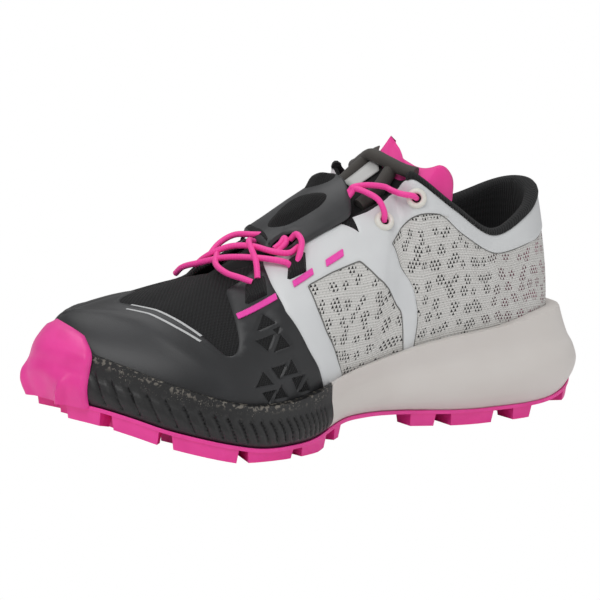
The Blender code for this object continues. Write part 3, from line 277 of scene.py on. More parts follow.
def creaseHeight(turn, share):
    # Height of the creases at points of the surface, in metres.
    turn, share = np.broadcast_arrays(np.asarray(turn, float) % turnCount, np.asarray(share, float))
    height = np.zeros(turn.shape)
    plan = np.stack([turn.ravel() * flatRow, share.ravel() * flatShare], -1)
    for row in creases:
        start, end = (np.array([[row[k] * flatRow, row[k + 1] * flatShare]]) for k in (0, 2))
        distance = segmentDistance(plan, start, end)[:, 0].reshape(turn.shape)
        height = height + row[5] * mm * np.exp(-(distance / row[4]) ** 2)
    return height


def surface(turn, share, offset=0.0):
    # Point of the upper's outer face with its creases, moved out by an offset.
    turn, share, offset = np.broadcast_arrays(*(np.asarray(item, float) for item in (turn, share, offset)))
    return lastPoint(turn, share) + lastNormal(turn, share) * (offset + creaseHeight(turn, share))[..., None]


def throatShare(turn):
    return np.minimum(along(throatEdge, sideRow(turn)), 1.0)


def outline(turn, inset):
    # Plan of the sole's side, moved in by an inset.
    side = around(sides, turn)
    return side[..., :2] - outward(sides, turn) * np.asarray(inset, float)[..., None]


def atHeight(plan, height):
    return np.concatenate([plan, np.broadcast_to(np.asarray(height), plan.shape[:-1])[..., None]], -1)


def shareAtHeight(turn, height):
    # How far up its side the last reaches a height.
    low = np.zeros_like(turn)
    high = np.full_like(turn, 0.9)
    for _ in range(22):
        middle = (low + high) / 2
        below = lastPoint(turn, middle)[..., 2] < height
        low = np.where(below, middle, low)
        high = np.where(below, high, middle)
    return low


def smooth(value):
    value = np.clip(value, 0, 1)
    return value * value * (3 - 2 * value)


# Materials
def linear(hexColour):
    channels = [int(hexColour[place:place + 2], 16) / 255 for place in (1, 3, 5)]
    return (*(c / 12.92 if c <= 0.04045 else ((c + 0.055) / 1.055) ** 2.4 for c in channels), 1.0)


def addNode(tree, kind, inputs=None, **settings):
    # Adds a node with its settings, and links or sets its inputs.
    node = tree.nodes.new(kind)
    for name, value in settings.items():
        setattr(node, name, value)
    for name, value in (inputs or {}).items():
        if isinstance(value, bpy.types.NodeSocket):
            tree.links.new(value, node.inputs[name])
        elif value is not None:
            node.inputs[name].default_value = value
    return node


class Field:
    # A number in a shader, with the usual arithmetic.

    def __init__(self, tree, socket):
        self.tree = tree
        self.socket = socket

    def math(self, operation, *others, clamp=False):
        values = [self.socket] + [item.socket if isinstance(item, Field) else item for item in others]
        inputs = dict(enumerate(values))
        node = addNode(self.tree, "ShaderNodeMath", inputs, operation=operation, use_clamp=clamp)
        return Field(self.tree, node.outputs[0])

    def __add__(self, other):
        return self.math("ADD", other)

    def __sub__(self, other):
        return self.math("SUBTRACT", other)

    def __mul__(self, other):
        return self.math("MULTIPLY", other)

    def __truediv__(self, other):
        return self.math("DIVIDE", other)

    def floor(self):
        return self.math("FLOOR")

    def fract(self):
        return self.math("FRACT")

    def sin(self):
        return self.math("SINE")

    def abs(self):
        return self.math("ABSOLUTE")

    def below(self, limit, softness=0.05):
        # 1 under the limit and 0 over it, with a soft step between.
        return (self * (-1 / softness)).math("ADD", limit / softness + 0.5, clamp=True)


def newMaterial(name, colour, roughness, coat=0.0, sheen=0.0):
    made = bpy.data.materials.new(name)
    made.use_nodes = True
    shader = made.node_tree.nodes["Principled BSDF"]
    shader.inputs["Base Color"].default_value = linear(colour)
    shader.inputs["Roughness"].default_value = roughness
    shader.inputs["Coat Weight"].default_value = coat
    shader.inputs["Coat Roughness"].default_value = 0.35
    shader.inputs["Sheen Weight"].default_value = sheen
    shader.inputs["Sheen Roughness"].default_value = 0.6
    return made, made.node_tree, shader


def objectPlace(tree):
    return addNode(tree, "ShaderNodeTexCoord").outputs["Object"]


def weave(tree):
    # The piece's own length and height in millimetres.
    place = addNode(tree, "ShaderNodeUVMap", uv_map="weave").outputs["UV"]
    parts = addNode(tree, "ShaderNodeSeparateXYZ", {"Vector": place})
    return Field(tree, parts.outputs["X"]), Field(tree, parts.outputs["Y"])


def noise(tree, grain, detail=3.0):
    # Noise with a grain in millimetres.
    node = addNode(tree, "ShaderNodeTexNoise", {
        "Vector": objectPlace(tree), "Scale": 1 / (grain * mm), "Detail": detail})
    return Field(tree, node.outputs["Fac"])


def mixColour(tree, amount, first, second):
    node = addNode(tree, "ShaderNodeMix", {0: amount.socket}, data_type="RGBA")
    for socket, value in ((node.inputs[6], first), (node.inputs[7], second)):
        if isinstance(value, str):
            socket.default_value = linear(value)
        else:
            tree.links.new(value, socket)
    return node.outputs[2]


def bump(tree, shader, height, distance):
    # Relief whose depth is given in millimetres.
    node = addNode(tree, "ShaderNodeBump", {"Height": height.socket, "Distance": distance * mm})
    tree.links.new(node.outputs["Normal"], shader.inputs["Normal"])


def grained(name, colour, roughness, grain, depth, spread=0.0, darker=None, coat=0.0, sheen=0.0):
    # Plain material with a grain in millimetres and a slight change of colour.
    made, tree, shader = newMaterial(name, colour, roughness, coat, sheen)
    fine = noise(tree, grain)
    bump(tree, shader, fine, depth)
    if darker:
        wide = noise(tree, spread or grain * 8, 2.0)
        tree.links.new(mixColour(tree, (wide - 0.35) * 2.2, colour, darker), shader.inputs["Base Color"])
    return made


# Columns of clusters: width, height, shift of the grid, reach
whiteKnit = {"course": 1.05, "stitch": 1.1, "holeWidth": 1.9, "holeHeight": 1.6, "holeReach": 0.69,
             "sway": 0.35, "clusters": ((7.6, 6.9, 0.5, 2.15), (11.9, 9.6, 0.37, 1.9))}


def whiteKnitMaterial():
    # Knit with level courses and uneven clusters of small three-sided holes, pinkish towards the heel.
    made, tree, shader = newMaterial("white knit", "#CBCAC5", 0.85, sheen=0.1)
    u, v = weave(tree)
    course = (v * (2 * math.pi / whiteKnit["course"])).sin()
    odd = (v / whiteKnit["course"]).floor() * 0.5
    stitch = ((u / whiteKnit["stitch"] + odd) * (2 * math.pi)).sin()
    hole = None
    for wide, tall, shift, reach in whiteKnit["clusters"]:
        level = v / tall + shift
        row = level.floor()
        across = u / wide + row * 0.5 + shift
        cell = addNode(tree, "ShaderNodeCombineXYZ", {"X": across.floor().socket, "Y": row.socket})
        chance = addNode(tree, "ShaderNodeTexWhiteNoise", {"Vector": cell.outputs[0]}, noise_dimensions="2D")
        parts = addNode(tree, "ShaderNodeSeparateColor", {0: chance.outputs["Color"]})
        chanceU, chanceV, chanceSize = (Field(tree, parts.outputs[index]) for index in range(3))
        p = (across.fract() - 0.5) * wide + (chanceU - 0.5) * (wide * whiteKnit["sway"])
        q = (level.fract() - 0.5) * tall + (chanceV - 0.5) * (tall * whiteKnit["sway"])
        size = chanceSize * 0.9 + (reach - 0.45)
        near = ((p * p + q * q).math("SQRT") / size).below(1.0, 0.08)
        hole = near if hole is None else hole.math("MAXIMUM", near)
    rise = v / whiteKnit["holeHeight"]
    slant = ((u / whiteKnit["holeWidth"] + rise.floor() * 0.5).fract() - 0.5).abs() * whiteKnit["holeWidth"]
    wedge = slant + rise.fract() * 0.78
    drawn = wedge.below(whiteKnit["holeReach"], 0.03) * hole
    dimple = wedge.below(0.38, 0.3) * 0.35
    tone = mixColour(tree, (noise(tree, 7.0, 2.0) - 0.4) * 1.5, "#DEDDDA", "#CDCBC7")
    # Dimples and the troughs between courses are darkened towards #8F8D8A as painted shade.
    tone = mixColour(tree, dimple + (course * -0.5 + 0.5) * 0.34, tone, "#8F8D8A")
    place = addNode(tree, "ShaderNodeSeparateXYZ", {"Vector": objectPlace(tree)})
    heelward = (Field(tree, place.outputs["X"]) * -25 - 1.6).math("ADD", 0.0, clamp=True)
    # The holes are painted nearly black as the shade inside them, and pink towards the heel.
    holeTone = mixColour(tree, heelward * noise(tree, 14.0, 1.0), "#0D0B0B", "#B04A70")
    tree.links.new(mixColour(tree, drawn, tone, holeTone), shader.inputs["Base Color"])
    height = course * 0.25 + stitch * 0.10 - drawn * 1.2 - dimple * 0.4 + noise(tree, 0.6) * 0.25
    bump(tree, shader, height, 0.30)
    return made


def ribbedKnitMaterial(name, colour, darker, pitch, lean, sheen=0.15):
    # Dark knit with fine ribs that lean across the rows.
    made, tree, shader = newMaterial(name, colour, 0.9, sheen=sheen)
    u, v = weave(tree)
    rib = ((u + v * lean) * (2 * math.pi / pitch)).sin()
    thread = ((v - u * lean * 0.4) * (2 * math.pi / (pitch * 0.55))).sin()
    tone = mixColour(tree, (rib * 0.5 + 0.5) * 0.85 + thread * 0.08, colour, darker)
    tree.links.new(tone, shader.inputs["Base Color"])
    bump(tree, shader, rib * -0.5 + thread * 0.2 + noise(tree, 0.5) * 0.3, 0.28)
    return made


def randMaterial():
    # Black rubber with specks of cured glue along its upper edge.
    made, tree, shader = newMaterial("black rubber", "#141415", 0.42, coat=0.15)
    edge = Field(tree, addNode(tree, "ShaderNodeAttribute", attribute_name="edge").outputs["Fac"])
    speck = (noise(tree, 0.55, 4.0) * -1 + 1).below(0.36, 0.05)
    patch = (noise(tree, 5.0, 2.0) * -1 + 1).below(0.46, 0.08)
    trace = speck * patch * edge
    line = (noise(tree, 1.6, 3.0) * -1 + 1).below(0.42, 0.06) * edge.math("POWER", 8.0)
    tone = mixColour(tree, noise(tree, 3.0), "#0F0F10", "#1C1C1D")
    tone = mixColour(tree, (trace + line * 0.45).math("MINIMUM", 1.0), tone, "#9C958A")
    tree.links.new(tone, shader.inputs["Base Color"])
    bump(tree, shader, noise(tree, 0.7, 4.0) + trace, 0.12)
    return made


def rubberMaterial():
    # Moulded pink rubber, a little lighter where it is worn smooth.
    made, tree, shader = newMaterial("pink rubber", "#F0389C", 0.42, coat=0.12)
    wide = noise(tree, 12.0, 2.0)
    tree.links.new(mixColour(tree, (wide - 0.4) * 2.0, "#F43FA2", "#E42C90"), shader.inputs["Base Color"])
    shader.inputs["Subsurface Weight"].default_value = 0.08
    shader.inputs["Subsurface Radius"].default_value = (0.004, 0.001, 0.002)
    bump(tree, shader, noise(tree, 0.8, 3.0), 0.05)
    return made


def cordMaterial(name, colour, darker, pitch=1.2):
    # Braided cord: crossing threads along its length.
    made, tree, shader = newMaterial(name, colour, 0.5, sheen=0.1)
    u, v = weave(tree)
    one = ((u / pitch + v) * (2 * math.pi)).sin()
    two = ((u / pitch - v) * (2 * math.pi)).sin()
    braid = one.math("MAXIMUM", two)
    # Darker in the hollows between the crossing threads: painted shade.
    tree.links.new(mixColour(tree, braid * -0.12 + 0.15, colour, darker), shader.inputs["Base Color"])
    bump(tree, shader, braid, 0.02)
    return made


materials = {
    "whiteKnit": whiteKnitMaterial(),
    "blackKnit": ribbedKnitMaterial("black knit", "#040405", "#161719", 1.35, 0.45, 0.03),
    "whiteFilm": grained("white film", "#DBDDDE", 0.42, 0.5, 0.03, 30.0, "#CFD1D3", coat=0.05),
    "charcoalFilm": grained("charcoal film", "#1D1E20", 0.44, 0.45, 0.05, 22.0, "#27282B", coat=0.08),
    "coverFilm": grained("cover film", "#252628", 0.48, 0.45, 0.05, 18.0, "#3A3B3D", coat=0.08),
    "coverMesh": ribbedKnitMaterial("black mesh", "#020203", "#121213", 0.9, 1.0, 0.02),
    "foam": grained("eva foam", "#DAD5D1", 0.5, 0.6, 0.02, 40.0, "#D3CDC8", coat=0.03),
    "rand": randMaterial(),
    "pinkRubber": rubberMaterial(),
    "lining": ribbedKnitMaterial("lining textile", "#060708", "#131517", 1.6, 0.1, 0.05),
    "tonguePink": grained("pink textile", "#F7389F", 0.6, 0.6, 0.06, 15.0, "#EC2890", sheen=0.1),
    "pinkFilm": grained("pink film", "#E83AAE", 0.45, 0.5, 0.02),
    # Dark textile, also painted as the shade on the tongue's face inside the arch.
    "darkTextileAndShade": grained("dark textile and painted shade", "#141415", 0.9, 0.6, 0.1),
    "tongueRim": grained("brown grey foam", "#37332F", 0.75, 0.5, 0.08, 12.0, "#413D38", sheen=0.1),
    "patch": grained("grey film", "#BDBDBB", 0.45, 0.5, 0.02),
    "webbing": ribbedKnitMaterial("black webbing", "#050506", "#151517", 0.9, 0.0, 0.03),
    "lace": cordMaterial("pink lace", "#FF3FA6", "#DE1E86"),
    "thread": cordMaterial("pink thread", "#F646B8", "#E030A0", 0.8),
    "eyelet": grained("cream plastic", "#E2DFD6", 0.35, 0.6, 0.02, coat=0.2),
    "hole": grained("painted hole shade", "#0B0708", 0.9, 1.0, 0.02),
    "reflective": grained("grey reflective film", "#B9BABB", 0.3, 0.5, 0.01),
    "seam": grained("grey stitching", "#6F6F6D", 0.8, 0.3, 0.05),
    "footbed": grained("black footbed", "#101011", 0.9, 0.5, 0.1),
}
print("materials made")


# Building
def newPiece(name, points, faces, finish, weld=0.00002, weaveMap=None, flip=False, slot=None, node=None):
    # Mesh from points measured from the heel, smooth, riding on the shoe.
    mesh = bpy.data.meshes.new(name)
    placed = np.asarray(points).reshape(-1, 3) - np.array([originX, 0, 0])
    mesh.from_pydata(placed.tolist(), [], faces)
    if weaveMap is not None:
        layer = mesh.uv_layers.new(name="weave")
        corner = np.zeros(len(mesh.loops), int)
        mesh.loops.foreach_get("vertex_index", corner)
        layer.data.foreach_set("uv", np.asarray(weaveMap, float).reshape(-1, 2)[corner].ravel())
    work = bmesh.new()
    work.from_mesh(mesh)
    bmesh.ops.remove_doubles(work, verts=work.verts, dist=weld)
    if flip:
        bmesh.ops.reverse_faces(work, faces=work.faces)
    return finishPiece(name, work, mesh, finish, 50, slot, node)


def finishPiece(name, work, mesh, finish, sharpFrom, slot, node):
    # Smooth object from a work mesh, with its material and the node it replaces; slot is not used.
    for face in work.faces:
        face.smooth = True
    work.to_mesh(mesh)
    work.free()
    mesh.set_sharp_from_angle(angle=math.radians(sharpFrom))
    mesh.materials.append(materials[finish])
    made = bpy.data.objects.new(name, mesh)
    bpy.context.scene.collection.objects.link(made)
    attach(made, "root")
    if node:
        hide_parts(node)
    return made


def gridFaces(rows, columns, wrap=False, start=0):
    # Faces of a grid of points, which may close on itself.
    faces = []
    for row in range(rows if wrap else rows - 1):
        for column in range(columns - 1):
            here = start + row * columns + column
            there = start + ((row + 1) % rows) * columns + column
            faces.append((here, here + 1, there + 1, there))
    return faces


def closedSweep(sections):
    # Faces of a body from closed sections in a row, capped at its ends.
    count, size = sections.shape[:2]
    faces = []
    for row in range(count - 1):
        for corner in range(size):
            here, there = row * size, (row + 1) * size
            following = (corner + 1) % size
            faces.append((here + corner, here + following, there + following, there + corner))
    return faces + [tuple(reversed(range(size))), tuple(range((count - 1) * size, count * size))]


def thicken(piece, thickness, offset=-1):
    wall = piece.modifiers.new("wall", "SOLIDIFY")
    wall.thickness = thickness
    wall.offset = offset


ribLength = np.array([np.linalg.norm(np.diff(lastPoint(row, np.linspace(0, 1, 60)), axis=0), axis=1).sum()
                      for row in range(turnCount + 1)]) / mm
rowPlace = np.concatenate([[0], np.cumsum(
    np.linalg.norm(np.diff(lastPoint(np.arange(turnCount + 1), 0.4), axis=0), axis=1))]) / mm


def weaveOf(turn, share):
    # Length along the shoe and height up its side in millimetres, for the weave.
    turn, share = np.broadcast_arrays(np.asarray(turn, float) % turnCount, np.asarray(share, float))
    row = np.arange(turnCount + 1)
    return np.stack([np.interp(turn, row, rowPlace), share * np.interp(turn, row, ribLength)], -1)


def curved(points, step=1.3):
    # Closed outline through given points; a point given twice is a corner.
    points = np.array(points, float)
    result = []
    for k in range(len(points)):
        four = [points[(k + j) % len(points)] for j in (-1, 0, 1, 2)]
        length = np.linalg.norm(four[2] - four[1])
        if length >= 1e-6:
            result.append(spline(*four, np.linspace(0, 1, max(int(length / step), 1) + 1)[:-1, None]))
    return np.concatenate(result)


def catmull(path, steps):
    # Smooth open curve through points.
    padded = np.concatenate([[2 * path[0] - path[1]], path, [2 * path[-1] - path[-2]]])
    part = np.linspace(0, 1, steps + 1)[:-1, None]
    return np.concatenate([spline(*padded[k:k + 4], part) for k in range(len(path) - 1)])


def inside(points, loop):
    # Which points lie inside a closed outline.
    x, y = points[:, 0, None], points[:, 1, None]
    x1, y1 = loop.T
    x2, y2 = np.roll(loop, -1, 0).T
    crosses = ((y1 > y) != (y2 > y)) & (x < (x2 - x1) * (y - y1) / np.where(y2 == y1, 1e-12, y2 - y1) + x1)
    return crosses.sum(1) % 2 == 1


def edgeDistance(points, loops):
    # Distance from each point to the nearest outline.
    result = np.full(len(points), 1e9)
    for loop in loops:
        for k in range(0, len(points), 4000):
            distance = segmentDistance(points[k:k + 4000], loop, np.roll(loop, -1, 0)).min(1)
            result[k:k + 4000] = np.minimum(result[k:k + 4000], distance)
    return result


def inPanel(points, loops):
    # Which points lie inside the first outline and outside the others.
    keep = inside(points, loops[0])
    for hole in loops[1:]:
        keep &= ~inside(points, hole)
    return keep


def normals(tangent):
    # Unit normals from the tangents of a flat path.
    return np.stack([-tangent[:, 1], tangent[:, 0]], -1) / np.linalg.norm(tangent, axis=1)[:, None]


def panelMesh(loops, spacing, rim):
    # Flat mesh of an outline with holes, with a ring of points just inside each edge.
    points, edges = [], []
    for loop in loops:
        start = len(points)
        points += loop.tolist()
        edges += [(start + k, start + (k + 1) % len(loop)) for k in range(len(loop))]
    extra = []
    for loop in loops:
        normal = normals(np.roll(loop, -1, 0) - np.roll(loop, 1, 0))
        extra += [loop + normal * sign * rim for sign in (1, -1)]
    low, high = loops[0].min(0), loops[0].max(0)
    across = np.arange(low[0], high[0], spacing)
    upward = np.arange(low[1], high[1], spacing * 0.87)
    grid = np.array([(x + (k % 2) * spacing / 2, y) for k, y in enumerate(upward) for x in across])

    def within(candidates):
        return candidates[inPanel(candidates, loops)]

    ring = within(np.concatenate(extra))
    ring = ring[edgeDistance(ring, loops) > rim * 0.9]
    grid = within(grid)
    grid = grid[edgeDistance(grid, loops) > rim * 2]
    points += ring.tolist() + grid.tolist()
    made = geometry.delaunay_2d_cdt([Vector(point) for point in points], edges, [], 0, 1e-5)
    flat = np.array([tuple(point) for point in made[0]])
    faces = np.array([face for face in made[2] if len(face) == 3])
    faces = faces[inPanel(flat[faces].mean(1), loops)]
    corners = flat[faces]
    turned = np.cross(corners[:, 1] - corners[:, 0], corners[:, 2] - corners[:, 0]) < 0
    faces[turned] = faces[turned][:, ::-1]
    return flat, faces, edgeDistance(flat, loops)


scaleFlat = np.array([flatRow, flatShare])


def sideChart(flat):
    # Chart of turn and share.
    return flat[:, 0] / flatRow, flat[:, 1] / flatShare


def ridgeChart(flat):
    # Chart of row and way down from the ridge, lateral over zero and medial under it.
    row, down = flat[:, 0] / flatRow, flat[:, 1] / flatShare
    return np.where(down >= 0, row, turnCount - row), 1 - np.abs(down)


def panel(name, chart, outer, holes, finish, thickness, lift=0.0, spacing=2.6, rim=0.7, shape=None, **kind):
    # Film on the upper, with soft edges, from an outline and holes in a chart.
    loops = [curved(np.array(loop) * scaleFlat) for loop in (outer, *holes)]
    flat, faces, distance = panelMesh(loops, spacing, rim)
    turn, share = chart(flat)
    offset = lift * mm + thickness * mm * smooth(distance / rim) - 0.08 * mm
    if shape is not None:
        offset = offset + shape(flat, distance) * mm
    points = surface(turn, np.clip(share, 0, 1), offset)
    return newPiece(name, points, faces.tolist(), finish, weld=0.00005, weaveMap=weaveOf(turn, share), **kind)


stripProfile = ((-1, -0.3), (-0.75, 0.6), (0, 1.0), (0.75, 0.6), (1, -0.3))  # columns: across, up


def strip(name, path, width, height, finish, chart=sideChart, lift=0.0):
    # Low rounded strip that follows a path on the upper, in chart points.
    path = np.array(path, float) * scaleFlat
    place = np.concatenate([[0], np.cumsum(np.linalg.norm(np.diff(path, axis=0), axis=1))])
    count = max(int(place[-1]), 2)
    dense = np.stack([np.interp(np.linspace(0, place[-1], count), place, path[:, k]) for k in (0, 1)], -1)
    for _ in range(2):
        dense[1:-1] = dense[1:-1] * 0.5 + (dense[:-2] + dense[2:]) * 0.25
    normal = normals(np.gradient(dense, axis=0))
    rows = []
    for across, up in stripProfile:
        turn, share = chart(dense + normal * across * width / 2)
        rows.append(surface(turn, np.clip(share, 0, 1), (lift + up * height) * mm))
    points = np.stack(rows, 1)
    length = np.linspace(0, place[-1], count)[:, None]
    uv = np.stack(np.broadcast_arrays(length, np.linspace(0, width, 5)), -1)
    return newPiece(name, points, gridFaces(count, 5), finish, weaveMap=uv)


def tube(name, path, radius, finish, flatten=1, sides=10, centre=None, widths=(1, 1), **kind):
    # Round cord through points, with its length and turn as its weave.
    path = np.array(path, float)
    dense = np.concatenate([catmull(path, 8), path[-1:]])
    tangent = np.gradient(dense, axis=0)
    tangent /= np.linalg.norm(tangent, axis=1)[:, None]
    angle = np.arange(sides) * 2 * math.pi / sides
    side = np.cross(tangent[0], (0.1, 0.2, 1.0))
    width = radius * np.interp(np.linspace(0, 1, len(dense)), np.linspace(0, 1, len(widths)), widths)
    rings = []
    for point, direction, size in zip(dense, tangent, width):
        if centre is not None:
            side = np.cross(direction, point - centre)
        side = side - direction * (side @ direction)
        side /= np.linalg.norm(side)
        up = np.cross(direction, side)
        rings.append(point + size * (np.cos(angle)[:, None] * side + np.sin(angle)[:, None] * up * flatten))
    length = np.concatenate([[0], np.cumsum(np.linalg.norm(np.diff(dense, axis=0), axis=1))]) / mm
    uv = np.stack(np.broadcast_arrays(length[:, None], np.arange(sides)[None] / sides), -1)
    return newPiece(name, np.array(rings), closedSweep(np.array(rings)), finish, weaveMap=uv, **kind)


# Upper. Its knit is black ahead of the border, along the throat's edge and in the film's notch
upper = {"columns": 8, "levels": 44, "thickness": shoe["wall"], "bindingFrom": 4.6, "bindingDepth": 0.07,
         "notchFrom": 7.9, "notchTo": 8.7, "notchAbove": 0.60, "underFilm": 0.15}
blackBorder = ((10.18, 0.75), (10.03, 0.50), (9.93, 0.44), (9.50, 0.28), (9.03, 0.17), (8.75, 0.09),
               (8.5, 0.0))


def surfaceFinder(across=301, upward=41):
    # Finds the row and the share of the surface point nearest to a place.
    turns = np.linspace(0, turnCount, across)
    grid = lastPoint(turns[:, None], np.linspace(0, 1, upward)[None]).reshape(-1, 3)
    tree = kdtree.KDTree(len(grid))
    for index, point in enumerate(grid):
        tree.insert(point, index)
    tree.balance()

    def find(place):
        index = tree.find(place)[1]
        return float(sideRow(turns[index // upward])), (index % upward) / (upward - 1)

    return find


def buildUpper():
    turn = np.linspace(0, turnCount, turnCount * upper["columns"] + 1)[:-1]
    share = np.linspace(0, 1, upper["levels"])[None] * throatShare(turn)[:, None]
    turns = np.broadcast_to(turn[:, None], share.shape)
    faces = gridFaces(*share.shape, wrap=True)
    piece = newPiece("upperKnit", surface(turns, share), faces, "whiteKnit", weaveMap=weaveOf(turns, share),
                     slot="upper_knit")
    piece.data.materials.append(materials["blackKnit"])
    heel = np.array([originX, 0, 0])
    border = np.array(blackBorder)[::-1]
    find = surfaceFinder()
    for polygon in piece.data.polygons:
        row, height = find(np.array(polygon.center) + heel)
        ahead = row > np.interp(height, border[:, 1], border[:, 0]) - upper["underFilm"]
        binding = row > upper["bindingFrom"] and height > throatShare(row) - upper["bindingDepth"]
        notch = upper["notchFrom"] < row < upper["notchTo"] and height > upper["notchAbove"]
        polygon.material_index = 1 if ahead or binding or notch else 0
    thicken(piece, upper["thickness"])
    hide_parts("upper")


def mirrored(points):
    # The same outline on the medial side.
    return [(-turn, share) for turn, share in reversed(points)]


# White film. Columns of its outline: turn, share; a point given twice is a corner
whiteFilm = {"thickness": 0.55, "lift": 0.1, "rim": 0.8, "seamWidth": 0.55, "seamHeight": 0.18,
             "seamLift": 0.12, "seams": ((29, 44), (46, 62))}
whiteFilmFront = [
    (5.03, 0.985), (5.30, 0.965), (5.60, 0.93), (6.00, 0.865), (6.50, 0.795), (7.00, 0.755), (7.48, 0.735),
    (7.88, 0.725), (8.33, 0.735), (8.33, 0.735), (8.20, 0.655), (8.20, 0.655), (8.62, 0.735), (8.62, 0.735),
    (9.25, 0.745), (9.75, 0.745), (10.00, 0.765), (10.10, 0.78), (10.18, 0.75), (10.16, 0.62), (10.03, 0.50),
    (9.93, 0.44), (9.50, 0.28), (9.03, 0.17), (8.75, 0.09), (8.5, 0.02), (8.5, 0.02), (7.85, 0.02),
    (7.85, 0.02),
    (7.95, 0.10), (8.45, 0.20), (9.00, 0.32), (9.30, 0.42), (9.53, 0.54), (9.53, 0.54), (8.90, 0.545),
    (8.18, 0.54), (8.18, 0.54), (7.43, 0.45), (6.58, 0.39), (5.88, 0.34), (5.70, 0.28), (5.50, 0.15),
    (5.45, 0.02),
    (5.45, 0.02), (5.10, 0.02), (5.10, 0.02), (5.15, 0.17), (5.13, 0.30), (5.20, 0.39), (5.48, 0.47),
    (6.15, 0.51), (6.93, 0.565), (6.93, 0.565), (4.40, 0.89), (4.25, 0.89), (3.93, 0.86), (3.38, 0.86),
    (2.75, 0.845), (2.25, 0.81), (1.70, 0.78), (0.8, 0.79),
]
whiteFilmTop = [(0.0, 0.985), (1.0, 0.985), (2.0, 0.985), (3.0, 0.985), (4.0, 0.985), (4.6, 0.985)]


def buildWhiteFilm():
    lateral, medial = whiteFilmTop + whiteFilmFront, mirrored(whiteFilmFront) + mirrored(whiteFilmTop[1:])
    outer = lateral + [(0.0, 0.80)] + medial
    panel("whiteFilm", sideChart, outer, [], "whiteFilm", whiteFilm["thickness"], lift=whiteFilm["lift"],
          rim=whiteFilm["rim"], slot="white_film", node="quarter_film")
    for sign, word in ((1, "Lateral"), (-1, "Medial")):
        for index, (start, end) in enumerate(whiteFilm["seams"]):
            path = [(turn * sign, share) for turn, share in whiteFilmFront[start:end]]
            strip(f"filmSeam{word}{index}", path, whiteFilm["seamWidth"], whiteFilm["seamHeight"], "seam",
                  lift=whiteFilm["seamLift"])


# Toe film. Columns of its outline, its ridge and its lines: row, way down from the ridge
toeFilm = {"thickness": 0.6, "lift": 0.1, "spacing": 2.4, "rim": 0.7, "ridgeHeight": 0.45, "ridgeWidth": 2.2,
           "lineWidth": 0.9, "lineHeight": 0.06, "lineLift": 0.68}
toeFilmSide = [
    (12.30, 0.0), (12.55, 0.10), (12.60, 0.17), (12.43, 0.22), (12.10, 0.30), (11.83, 0.40), (11.48, 0.53),
    (11.30, 0.61), (11.17, 0.65), (11.02, 0.645), (10.93, 0.60), (10.90, 0.54), (10.88, 0.42), (10.86, 0.31),
    (10.83, 0.285), (10.83, 0.285), (10.60, 0.27), (10.30, 0.24), (10.14, 0.22), (10.14, 0.22), (10.17, 0.26),
    (10.16, 0.38), (10.03, 0.50), (9.93, 0.56), (9.50, 0.72), (9.03, 0.83), (8.75, 0.91), (8.5, 0.98),
    (8.5, 0.98),
    (11.0, 0.985), (13.0, 0.985), (14.98, 0.985), (14.98, 0.985),
]
# Three-sided windows in the forefoot film. Columns: row, way down from the ridge, size in mm, up or down
filmWindows = (
    (10.40, 0.53, 6.5, 1), (10.46, 0.64, 6.5, -1), (10.12, 0.655, 6.5, 1), (10.22, 0.60, 3.0, -1),
    (10.52, 0.80, 7.0, 1), (10.20, 0.79, 6.0, -1), (9.88, 0.78, 6.5, 1), (10.10, 0.885, 6.0, 1),
    (9.68, 0.865, 6.0, -1), (10.42, 0.90, 5.5, -1), (9.40, 0.885, 5.0, 1),
)


toeRidge = ((15.0, 0.10), (13.93, 0.13), (12.88, 0.28), (12.33, 0.40), (12.0, 0.56), (11.62, 0.71),
            (11.35, 0.83))
toeLines = (((12.53, 0.27), (12.18, 0.34), (11.88, 0.45), (11.56, 0.555)),
            ((12.42, 0.235), (12.06, 0.315), (11.78, 0.42), (11.52, 0.525)))


def toeRise(flat, distance):
    # Low ridge that runs from the toe up both sides.
    path = np.array(toeRidge) * scaleFlat
    low = np.stack([flat[:, 0], np.abs(flat[:, 1])], -1)
    away = segmentDistance(low, path[:-1], path[1:]).min(1)
    return toeFilm["ridgeHeight"] * np.exp(-(away / toeFilm["ridgeWidth"]) ** 2)


def buildToeFilm():
    outer = toeFilmSide + [(row, -down) for row, down in reversed(toeFilmSide[1:])]
    holes = []
    for row, down, size, way in filmWindows:
        half, tall = size / 2 / flatRow, size * 0.46 / flatShare * way
        corners = ((row - half, down + tall), (row + half, down + tall),
                   (row + half * 0.15 * way, down - tall))
        for sign in (1, -1):
            holes.append([(place, depth * sign) for place, depth in corners for _ in range(2)])
    panel("toeFilm", ridgeChart, outer, holes, "charcoalFilm", toeFilm["thickness"], lift=toeFilm["lift"],
          spacing=toeFilm["spacing"], rim=toeFilm["rim"], shape=toeRise, flip=True, slot="charcoal_film",
          node="toe_cap")
    for sign, word in ((1, "Lateral"), (-1, "Medial")):
        for index, line in enumerate(toeLines):
            path = [(row, down * sign) for row, down in line]
            strip(f"reflectiveLine{word}{index}", path, toeFilm["lineWidth"], toeFilm["lineHeight"],
                  "reflective", chart=ridgeChart, lift=toeFilm["lineLift"])


buildUpper()
buildWhiteFilm()
buildToeFilm()
print("upper built")

# Collar lining, padded, rolled over the collar's edge
lining = {"columns": 12, "end": 16 / 3, "roll": 0.0009, "padFill": 0.9}


